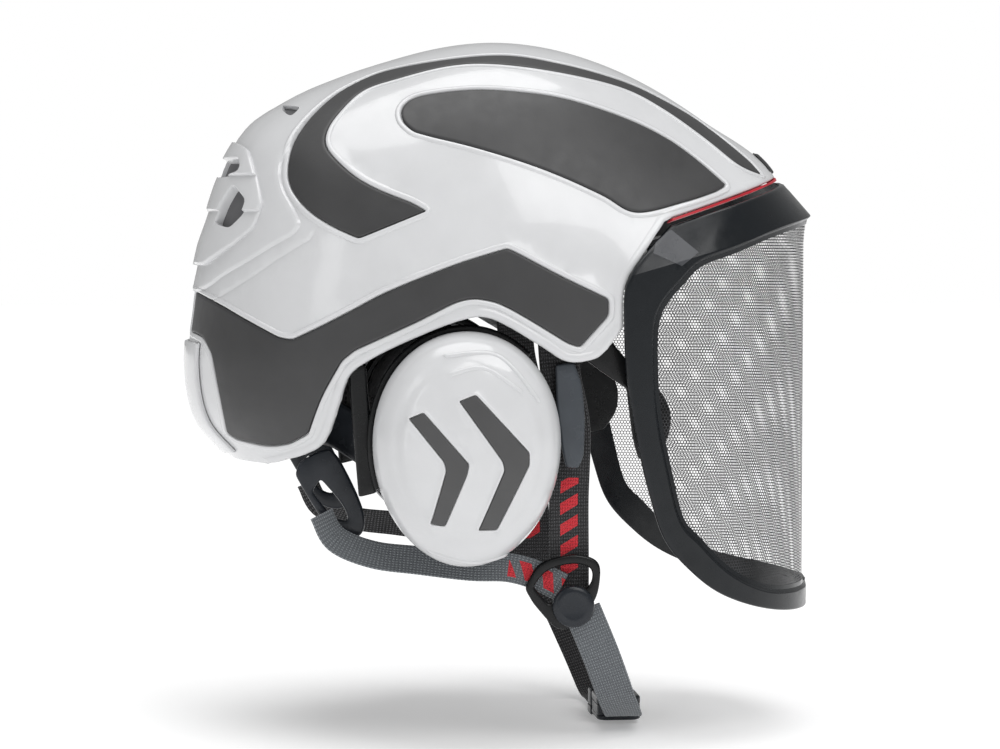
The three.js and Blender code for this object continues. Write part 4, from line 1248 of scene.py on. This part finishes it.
def add_ear_cushions():
    """Two ring pads of filled cloth, each with a welt round its outer seam."""
    for piece in add_pair("ear_cushion_{side}_look", egg_ring(CUSHION), ["ear"], "cup_{side}"):
        swell(piece, 1.2)
    share, behind, radius = WELT
    f, u = egg(share, np.linspace(0, 2 * math.pi, 120, endpoint=False))
    seam = tube(to_row(behind - CUP_RIM, f, u), radius, closed=True)
    add_pair("ear_cushion_welt_{side}", seam, ["ear"], "cup_{side}")


POST = [(-51, -67), (-42.5, -65), (-47.5, -5), (-56.5, -1)]
HINGE_PIN = [(0, -11), (1.6, -11), (1.8, -10.6), (1.8, 2), (1.6, 2.3), (0, 2.3)]
HINGE = (-89.5, 52, 5 - SEAT_HEIGHT)    # place of the muff's upright hinge
BOW_SHARES = (1.05, 0.96)               # outer and inner edge of the bow, as shares of the cup's outline


def add_muff_arms():
    bar = plate(polygon(POST, soften=2), *PLATE_FACES["muff_arm"], 1.4)
    pin = turned(HINGE_PIN, lambda c, s, d: (HINGE[0] + c, HINGE[1] + s, HINGE[2] + d), 24)
    add_pair("muff_arm_{side}_look", combined(bar, pin), ["black"], "muff_{side}")
    turns = np.radians(np.linspace(50, 200, 80))
    outer, inner = (np.column_stack(egg(share, turns)) for share in BOW_SHARES)
    bow = refined(counterclockwise(np.vstack([outer, inner[::-1]])), 1.5)
    yoke = plate(bow, *PLATE_FACES["muff_yoke"], 1.4, spacing=3)
    add_pair("muff_yoke_{side}_look", yoke, ["black"], "muff_{side}")


# ---------------------------------------------------------------- visor arms, hangers, straps
GUIDE_BLOCK = [(-88.75, -81, -46 - SEAT_HEIGHT), (-98, -87, -36 - SEAT_HEIGHT)]


def add_visor_arms():
    arm = plate(closed_outline(ARM), *PLATE_FACES["visor_arm"], 1.0)
    add_pair("visor_arm_{side}_look", arm, ["black"], "visor_arms")
    add_pair("visor_guide_block_{side}", block(*GUIDE_BLOCK, 0.8), ["black"], "visor")


GUIDE = [[(41, -5), (50, -4)], [(53.5, -14), (55, -30), (54.5, -48)], [(52, -54), (46, -53.5)],
         [(44, -44), (41.5, -25)]]
HANGER = [[(-78, -52), (-64, -46), (-55, -58), (-47, -78), (-50, -88), (-62, -86), (-72, -72), (-80, -58)]]
HANGER_SLOT = [[(-72, -66), (-62, -78), (-55, -80), (-58, -72), (-68, -60)]]
DIVIDER = [[(28, -112), (34, -101), (44, -97), (54, -96), (63, -99.5), (64, -108), (61, -119), (50, -130),
            (43, -131), (32, -119)]]
DIVIDER_HOLE = [[(32, -111), (38, -104), (46, -101), (54, -100.5), (60, -103), (60, -109), (56, -113),
                 (47, -113), (40, -120)]]
CAP_EDGE = 0.3
CAP_FACE = [(1, 0.45), (0.93, 0.8), (0.75, 1), (0.6, 0.93), (0.3, 0.86), (0, 0.84)]


def add_strap_fittings():
    guide = plate(closed_outline(GUIDE), *PLATE_FACES["strap_guide"], 1.3)
    # The guides take the lighter charcoal, which is partly painted highlight.
    add_pair("strap_guide_{side}_look", guide, ["guide"])
    hanger = plate(closed_outline(HANGER), *PLATE_FACES["strap_hanger"], 1.4, [closed_outline(HANGER_SLOT)])
    add_pair("strap_hanger_{side}_look", hanger, ["charcoal"])
    divider = plate(closed_outline(DIVIDER), *PLATE_FACES["strap_divider"], 1.3,
                    [closed_outline(DIVIDER_HOLE)], spacing=3)
    add_pair("strap_divider_{side}_look", divider, ["black"])
    low, high = (np.array(corner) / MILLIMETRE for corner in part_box("divider_cap_right"))
    depth, _, width = high - low
    _, back, height = (low + high) / 2
    profile = [(0, 0), (width / 2 * 0.97, 0), (width / 2, CAP_EDGE)]
    profile += [(width / 2 * share, depth * out) for share, out in CAP_FACE]
    add_pair("divider_cap_{side}_look", turned(profile, lambda c, s, d: (high[0] - d, back + c, height + s)),
             ["charcoal"])


STRAP_WALL = 1.6
FRONT_WIDTH = 19
REAR_WIDTH = 14
CHIN_WIDTH = 18
FRONT_ROUTE = [(-92.5, 42, 14), (-92, 44, -10), (-89, 49, -36), (-84, 49, -70), (-77.6, 50, -98),
               (-77.6, 50, -118)]
REAR_ROUTE = [(-76.5, -68, -76), (-78, -61, -88), (-82, -44, -95), (-83, -22, -98), (-83, 2, -101),
              (-81, 20, -102), (-80, 34, -106), (-80, 46, -112)]
CHIN_SIDE = [(80, 56, -123), (74, 66, -146), (62, 75, -168)]
CHIN_END_RIGHT = [(-46, 81, -179.5), (-26.8, 82, -181)]
CHIN_END_LEFT = [(50, 80.5, -183), (38, 82, -185), (20, 82, -185), (1.5, 82, -185)]


def add_straps():
    def forward(share):
        return 0, 1, 0

    def turning(share):
        return 0.7 - 0.7 * share, 0.45 - 0.35 * share, 1

    add_strap_pair("front_strap", FRONT_ROUTE, forward, FRONT_WIDTH, ["black_dashed"])
    add_strap_pair("rear_strap", REAR_ROUTE, turning, REAR_WIDTH, ["grey_dashed", "black_web"])
    right = [(-x, f, u) for x, f, u in CHIN_SIDE] + CHIN_END_RIGHT
    for side, route in (("right", right), ("left", CHIN_SIDE + CHIN_END_LEFT)):
        shape, marks = ribbon(route, forward, CHIN_WIDTH, STRAP_WALL)
        add_strap(f"chin_strap_{side}_look", shape, marks, ["grey_web", "black_web"])


# ---------------------------------------------------------------- soft pieces
def swell(piece, most):
    """Fills a closed mesh like a sewn pad: cloth under pressure, kept within a distance of its start."""
    remesh = piece.modifiers.new("remesh", "REMESH")
    remesh.mode = "VOXEL"
    remesh.voxel_size = PAD_VOXEL * MILLIMETRE
    keep_result(piece)
    start = positions(piece.data)
    cloth = piece.modifiers.new("cloth", "CLOTH")
    cloth.settings.use_pressure = True
    cloth.settings.uniform_pressure_force = PAD_PRESSURE
    cloth.settings.effector_weights.gravity = 0
    cloth.point_cache.frame_end = SIMULATED_FRAMES
    for number in range(1, SIMULATED_FRAMES + 1):
        bpy.context.scene.frame_set(number)
    keep_result(piece)
    move = positions(piece.data) - start
    length = np.maximum(np.linalg.norm(move, axis=1), 1e-9)
    move *= np.minimum(1, most * MILLIMETRE / length)[:, None]
    piece.data.vertices.foreach_set("co", (start + move).astype(np.float32).ravel())
    smooth = piece.modifiers.new("smooth", "SUBSURF")
    smooth.levels = 1
    keep_result(piece)
    piece.data.shade_smooth()
    bpy.context.scene.frame_set(1)


def keep_result(piece):
    """Makes the result of a piece's modifiers its own mesh."""
    seen = piece.evaluated_get(bpy.context.evaluated_depsgraph_get())
    mesh = bpy.data.meshes.new_from_object(seen)
    mesh.name = piece.name
    piece.modifiers.clear()
    piece.data = mesh


def positions(mesh):
    values = np.empty(3 * len(mesh.vertices), np.float32)
    mesh.vertices.foreach_get("co", values)
    return values.reshape(-1, 3)


def tube(path, radius, closed=False, sides=8):
    """A round cord along a path in row millimetres."""
    ahead = unit(np.roll(path, -1, 0) - np.roll(path, 1, 0) if closed else np.gradient(path, axis=0))
    across = unit(np.cross(ahead, (0.31, 0.17, 0.93)))
    second = np.cross(ahead, across)
    turns = np.arange(sides) * 2 * math.pi / sides
    ring = np.cos(turns)[None, :, None] * across[:, None] + np.sin(turns)[None, :, None] * second[:, None]
    return (path[:, None] + ring * radius).reshape(-1, 3), skin(len(path), sides, closed)


# ---------------------------------------------------------------- head suspension
def round_head(angle, out, u):
    """A point beside the head's oval: 0 degrees is forward and + is to the left."""
    turn = np.radians(angle)
    return to_row((HEAD_HALF_WIDTH + out) * np.sin(turn),
                  HEAD_FORWARD + (HEAD_HALF_LENGTH + out) * np.cos(turn), u)


def head_band(section, start, end, grow, wall, bottom, top, taper=0.0, steps=90):
    """A strip round the head. The section is a closed list of (out, up) from -1 to 1; bottom and top give
    its height at a share of its length, and taper is the share of the length that rounds off at each end."""
    shares = np.linspace(0, 1, steps)[:, None]
    edge = np.minimum(1, np.minimum(shares, 1 - shares) / taper) if taper else np.ones((steps, 1))
    size = np.maximum(0.06, np.sqrt(1 - (1 - edge) ** 2))
    low, high = bottom(shares), top(shares)
    out, up = np.array(section).T
    outward = grow + wall * (0.5 + 0.5 * out * size)
    heights = (high + low) / 2 + (high - low) / 2 * up * size
    angles = start + (end - start) * np.repeat(shares, len(section), 1)
    return round_head(angles.ravel(), outward.ravel(), heights.ravel()), skin(steps, len(section))


def pad_section(points=20, power=0.45):
    """A crowned cross-section, fuller than an ellipse."""
    turns = np.arange(points) * 2 * math.pi / points
    return [tuple(math.copysign(abs(v) ** power, v) for v in (math.cos(t), math.sin(t))) for t in turns]


RIB_SECTION = [(-1, -0.94), (-0.6, -1), (0.6, -1), (1, -0.94), (1, -0.8), (0.5, -0.72), (0.5, 0.72),
               (1, 0.8), (1, 0.94), (0.6, 1), (-0.6, 1), (-1, 0.94)]


def band_height(angle, offset):
    tilt = math.sin(math.radians(BAND_TILT)) * HEAD_HALF_LENGTH
    return SEAT_HEIGHT + tilt * np.cos(np.radians(angle)) + offset


def edges_along(start, end, half):
    """Bottom and top height of the tilted headband at a share of the way from start to end."""
    return [lambda share, offset=offset: band_height(start + (end - start) * share, offset)
            for offset in (-half, half)]


def add_padding(name, shape, most):
    """A textile pad that is swollen by at most some millimetres."""
    piece = add(name, shape, ["pad"])
    swell(piece, most)


def add_headband():
    strip = head_band(RIB_SECTION, -BAND_END, BAND_END, 0, BAND_WALL,
                      *edges_along(-BAND_END, BAND_END, BAND_HALF_HEIGHT), steps=180)
    add("headband_look", strip, ["black"])
    end = SWEATBAND_END
    pad = head_band(pad_section(), -end, end, -SWEATBAND_WALL, SWEATBAND_WALL - SWELL_ROOM,
                    *edges_along(-end, end, BAND_HALF_HEIGHT + 1), 0.07)
    add_padding("sweatband_look", pad, 1.0)
    angles = np.linspace(-end + 3, end - 3, 80)
    for name, offset in (("upper", BAND_HALF_HEIGHT - 1), ("lower", 1 - BAND_HALF_HEIGHT)):
        path = round_head(angles, -SWEATBAND_WALL - 0.4, band_height(angles, offset))
        add(f"sweatband_stitch_{name}", tube(path, STITCH_RADIUS), ["thread"])


def cap_place(x, f, grow):
    """Points on the rounded cap over the head, above a place in plan."""
    inner = 1 - (x / (HEAD_HALF_WIDTH + grow)) ** 2 - ((f - HEAD_FORWARD) / (HEAD_HALF_LENGTH + grow)) ** 2
    return to_row(x, f, SEAT_HEIGHT + (HEAD_CROWN + grow) * np.sqrt(np.maximum(0, inner)))


def add_crown():
    reach = math.acos((CRADLE_FOOT - SEAT_HEIGHT) / HEAD_CROWN)
    turns = np.linspace(-reach, reach, 40)
    ribbons, routes = [], []
    for half, along, grow in ((HEAD_HALF_LENGTH, (0, 1), 0.95), (HEAD_HALF_WIDTH, (1, 0), 1.65)):
        distance_out = (half + grow) * np.sin(turns)
        height = SEAT_HEIGHT + (HEAD_CROWN + grow) * np.cos(turns)
        route = [(d * along[0], HEAD_FORWARD + d * along[1], h) for d, h in zip(distance_out, height)]
        across = (along[1], along[0], 0)
        ribbons.append(ribbon(route, lambda share: across, CRADLE_WIDTH, CRADLE_WALL))
        routes.append(route)
    shapes, marks = zip(*ribbons)
    add_strap("crown_cradle_look", combined(*shapes), np.vstack(marks), ["black_web"])
    broad, narrow = CRADLE_WIDTH / 2 + 1, 2
    for i, (route, wide, deep) in enumerate(zip(routes, (broad, narrow), (narrow, broad))):
        for k, (x, f, u) in enumerate((route[0], route[-1])):
            level = u - SEAT_HEIGHT
            tab = block((x - wide, -f - deep, level - 3), (x + wide, -f + deep, level + 6), 1)
            add(f"cradle_tab_{2 * i + k}", tab, ["black"])


def add_crown_pad():
    """A round quilted pad under the crossing of the crown straps."""
    around = 48
    turns = np.linspace(0, 2 * math.pi, around, endpoint=False)
    levels = [0.02, *np.linspace(0.1, 0.9, 9), 0.96, 1.0]
    layers = []
    for side, shares in ((1, levels), (-1, levels[::-1])):
        for share in shares:
            thick = 0.35 + 2.0 * math.sqrt(max(0, 1 - share ** 6))
            radius = share * (CROWN_PAD_RADIUS - 1.5)
            layers.append(cap_place(radius * np.sin(turns), HEAD_FORWARD + radius * np.cos(turns),
                                    CROWN_PAD_DROP + side * thick))
    add_padding("crown_pad_look", (np.vstack(layers), skin(len(layers), around)), 0.9)
    radius = CROWN_PAD_RADIUS - 5
    ring = cap_place(radius * np.sin(turns), HEAD_FORWARD + radius * np.cos(turns), -5.5)
    add("crown_pad_stitch", tube(ring, STITCH_RADIUS, closed=True), ["thread"])


def add_nape():
    def drop(share):
        return NAPE["horn"] * abs(2 * share - 1) ** 3

    cradle = head_band(RIB_SECTION, NAPE["start"], NAPE["end"], NAPE["grow"], NAPE["wall"],
                       lambda share: NAPE["bottom"] - drop(share), lambda share: NAPE["top"] - drop(share))
    add("nape_cradle_look", cradle, ["charcoal"])
    start, end = NAPE["start"] - NAPE_PAD_OVERHANG, NAPE["end"] + NAPE_PAD_OVERHANG
    pad = head_band(pad_section(), start + 1, end - 1,
                    NAPE["grow"] - NAPE_PAD_WALL, NAPE_PAD_WALL - SWELL_ROOM,
                    lambda share: NAPE["bottom"] - NAPE_PAD_OVERHANG + 1 - drop(share),
                    lambda share: NAPE["top"] + 1 - drop(share) / 3, 0.06)
    add_padding("nape_pad_look", pad, 1.0)


def reoriented(shape, place):
    """A plate's shape with each point (outline a, outline b, thickness) sent to a new place."""
    vertices, faces = shape
    return np.array([place(-v[1], v[2] + SEAT_HEIGHT, -v[0]) for v in vertices]), faces


HOUSING = [(-29, -9), (-25, -13), (25, -13), (29, -9), (29, 9), (25, 13), (-25, 13), (-29, 9)]
HOUSING_RAIL = [(-28.6, 8), (28.6, 8), (28.6, 9), (25, 12.6), (-25, 12.6), (-28.6, 9)]
KNOB_PROFILE = [(0, 4.4), (13.2, 4.4), (14, 5.2), (14, 11.2), (13, 12.6), (10.5, 13), (9.8, 12.2), (9, 11.6),
                (4, 11.3), (3.4, 12.2), (0, 12.4)]
KNURLS = 20
KNURL_DEPTH = 0.9
KNURL_START = 11.5                      # radius beyond which the knob is knurled
RACKS = {"right": (-38, 12, -7.4), "left": (-12, 38, 0.4)}   # start, end and bottom edge of each rack
RACK_HEIGHT = 7


def add_adjuster():
    rear = HEAD_HALF_LENGTH - HEAD_FORWARD
    level = ADJUSTER_HEIGHT - SEAT_HEIGHT

    def upright(points, near, far, radius):
        """A plate seen from behind, between two distances from the back of the headband."""
        return reoriented(plate(polygon(points), near, far, radius, spacing=4),
                          lambda a, b, d: (a, rear + d, level + b))

    housing = combined(upright(HOUSING, -11, -5.7, 1.4), upright(HOUSING, -2.5, 4, 2.2),
                       upright(HOUSING_RAIL, -5.9, -2.3, 0.2),
                       upright([(x, -z) for x, z in HOUSING_RAIL], -5.9, -2.3, 0.2))
    add("adjuster_housing_look", housing, ["charcoal"])
    for side, (low, high, bottom) in RACKS.items():
        top = bottom + RACK_HEIGHT
        rack = upright([(low, bottom), (high, bottom), (high, top), (low, top)], -5.3, -2.9, 0.5)
        add(f"rack_{side}_look", rack, ["black"], f"rack_{side}")

    def knurled(c, s, d):
        radius, turn = math.hypot(c, s), math.atan2(s, c)
        if radius > KNURL_START:
            radius -= KNURL_DEPTH * (0.5 - 0.5 * math.cos(KNURLS * turn)) ** 2
        return radius * math.sin(turn), rear + d, level + radius * math.cos(turn)

    add("adjuster_knob_look", turned(KNOB_PROFILE, knurled, 160), ["black"], "knob")


# Buckle outlines are drawn from above as (left, forward) from the middle of the buckle.
SOCKET = [(-26, -8), (-23, -11), (-3, -11), (0, -9.5), (0, 9.5), (-3, 11), (-23, 11), (-26, 8)]
SOCKET_WINDOW = [(-20.4, -5.4), (-7.6, -5.4), (-7.6, 5.4), (-20.4, 5.4)]
SOCKET_SIDE = [(-25.5, 7.6), (-0.5, 7.6), (-0.5, 9.4), (-3, 10.8), (-23, 10.8), (-25.5, 9)]
SOCKET_END = [(-25.8, -8), (-18, -8), (-18, 8), (-25.8, 8)]
PLUG_COLLAR = [(0.35, -9.5), (3, -11), (12, -11), (14, -9), (14, 9), (12, 11), (3, 11), (0.35, 9.5)]
PLUG_FLOOR = [(0.35, -10), (4, -10), (4, 10), (0.35, 10)]
PLUG_BARS = [[(0.35, f), (14, f), (14, f + 1.2), (0.35, f + 1.2)] for f in (-11, 9.8)]
PLUG_TONGUE = [(-16, -4.5), (-13, -7), (2, -7), (2, 7), (-13, 7), (-16, 4.5)]
BUTTON = [(-20, -3.5), (-18.5, -5), (-9.5, -5), (-8, -3.5), (-8, 3.5), (-9.5, 5), (-18.5, 5), (-20, 3.5)]


def add_buckle():
    forward, height = BUCKLE
    base = height - SEAT_HEIGHT

    def lying(points, low, high, radius, holes=()):
        """A plate seen from above, between two heights about the buckle's middle."""
        shape = plate(polygon(points), low, high, radius, [polygon(hole) for hole in holes], 3)
        return reoriented(shape, lambda a, b, d: (a, -(forward + b), base + d))

    other_side = [(x, -f) for x, f in SOCKET_SIDE]
    walls = [lying(wall, -2.4, 2.4, 0.1) for wall in (SOCKET_SIDE, other_side, SOCKET_END)]
    socket = combined(lying(SOCKET, 2.2, 7, 1.4, [SOCKET_WINDOW]), lying(SOCKET, -5, -2.2, 1.2), *walls)
    add("buckle_socket_look", socket, ["charcoal"])
    bars = [lying(bar, -6.5, -2.4, 0.5) for bar in PLUG_BARS]
    plug = combined(lying(PLUG_COLLAR, -2.6, 6.5, 1.6), lying(PLUG_FLOOR, -6.5, -5.3, 0.5), *bars,
                    lying(PLUG_TONGUE, -1.4, 1.4, 0.7))
    add("buckle_plug_look", plug, ["charcoal"], "plug")
    add("buckle_button_look", lying(BUTTON, 4, 8.4, 1.3), ["black"], "button")


# ---------------------------------------------------------------- stage, camera and light
WORLD_LIGHT = 0.34
OVERHEAD_LIGHT = 1.7
FLOOR_GLOW = 0.25
FLOOR_SIZE = 6.0
FLOOR_DROP = 0.0005
CAMERA_TARGET = (0, -0.025, -0.045)
CAMERA_VIEW = (264, 3.3)                # azimuth and elevation
CAMERA_DISTANCE = 1.5
CAMERA_LENS = 108


def add_stage():
    """A wide pale floor below the helmet."""
    height = cad_bounds[0].z - FLOOR_DROP
    mesh = bpy.data.meshes.new("floor")
    corners = [(x * FLOOR_SIZE, y * FLOOR_SIZE, height) for x, y in ((-1, -1), (1, -1), (1, 1), (-1, 1))]
    mesh.from_pydata(corners, [], [(0, 1, 2, 3)])
    material, tree, shader = new_material("floor_pale", (0.93, 0.93, 0.93), 0.7,
                                          Emission_Strength=FLOOR_GLOW)
    shader.inputs["Emission Color"].default_value = (1, 1, 1, 1)
    drive(tree, shader, "Base Color", noise(tree, 3, 2), (0.92, 0.92, 0.925), (0.94, 0.94, 0.94))
    mesh.materials.append(material)
    floor = bpy.data.objects.new("floor", mesh)
    bpy.context.scene.collection.objects.link(floor)


def direction(azimuth, elevation):
    a, e = math.radians(azimuth), math.radians(elevation)
    return Vector((math.sin(a) * math.cos(e), -math.cos(a) * math.cos(e), math.sin(e)))


def add_camera():
    """A long lens from the wearer's right, slightly behind and above."""
    data = bpy.data.cameras.new("camera")
    data.lens = CAMERA_LENS
    data.sensor_width = 36
    camera = bpy.data.objects.new("camera", data)
    back = direction(*CAMERA_VIEW)
    camera.location = Vector(CAMERA_TARGET) + back * CAMERA_DISTANCE
    camera.rotation_euler = (-back).to_track_quat("-Z", "Y").to_euler()
    bpy.context.scene.collection.objects.link(camera)
    bpy.context.scene.camera = camera


def add_light(name, azimuth, elevation, distance_away, size, power):
    data = bpy.data.lights.new(name, "AREA")
    data.shape = "RECTANGLE"
    data.size, data.size_y = size
    data.energy = power
    light = bpy.data.objects.new(name, data)
    back = direction(azimuth, elevation)
    light.location = back * distance_away
    light.rotation_euler = (-back).to_track_quat("-Z", "Y").to_euler()
    bpy.context.scene.collection.objects.link(light)


def add_lights():
    """A white studio that lights the object softly, mostly from above and from the camera's left."""
    world = bpy.data.worlds.new("studio")
    world.use_nodes = True
    tree = world.node_tree
    background = tree.nodes["Background"]
    background.inputs["Color"].default_value = (1, 1, 1, 1)
    seen = tree.nodes.new("ShaderNodeLightPath").outputs["Is Camera Ray"]
    tree.links.new(ramp(tree, seen, WORLD_LIGHT, 1.0, 0, 1), background.inputs["Strength"])
    bpy.context.scene.world = world
    sun = bpy.data.lights.new("overhead", "SUN")
    sun.energy = OVERHEAD_LIGHT
    sun.angle = math.radians(50)
    overhead = bpy.data.objects.new("overhead", sun)
    bpy.context.scene.collection.objects.link(overhead)
    add_light("key", 300, 40, 1.6, (0.9, 0.9), 9)
    add_light("rear", 225, 15, 1.8, (0.35, 1.4), 2.2)
    bpy.context.scene.view_settings.view_transform = "Standard"


# ---------------------------------------------------------------- build
MATERIALS = make_materials()
add_shell()
add_inserts()
add_shell_fittings()
add_visor()
add_visor_arms()
add_cups()
add_ear_cushions()
add_muff_arms()
add_strap_fittings()
add_straps()
add_liner()
add_headband()
add_crown()
add_crown_pad()
add_nape()
add_adjuster()
add_buckle()
add_stage()
add_camera()
add_lights()

bpy.context.view_layer.update()
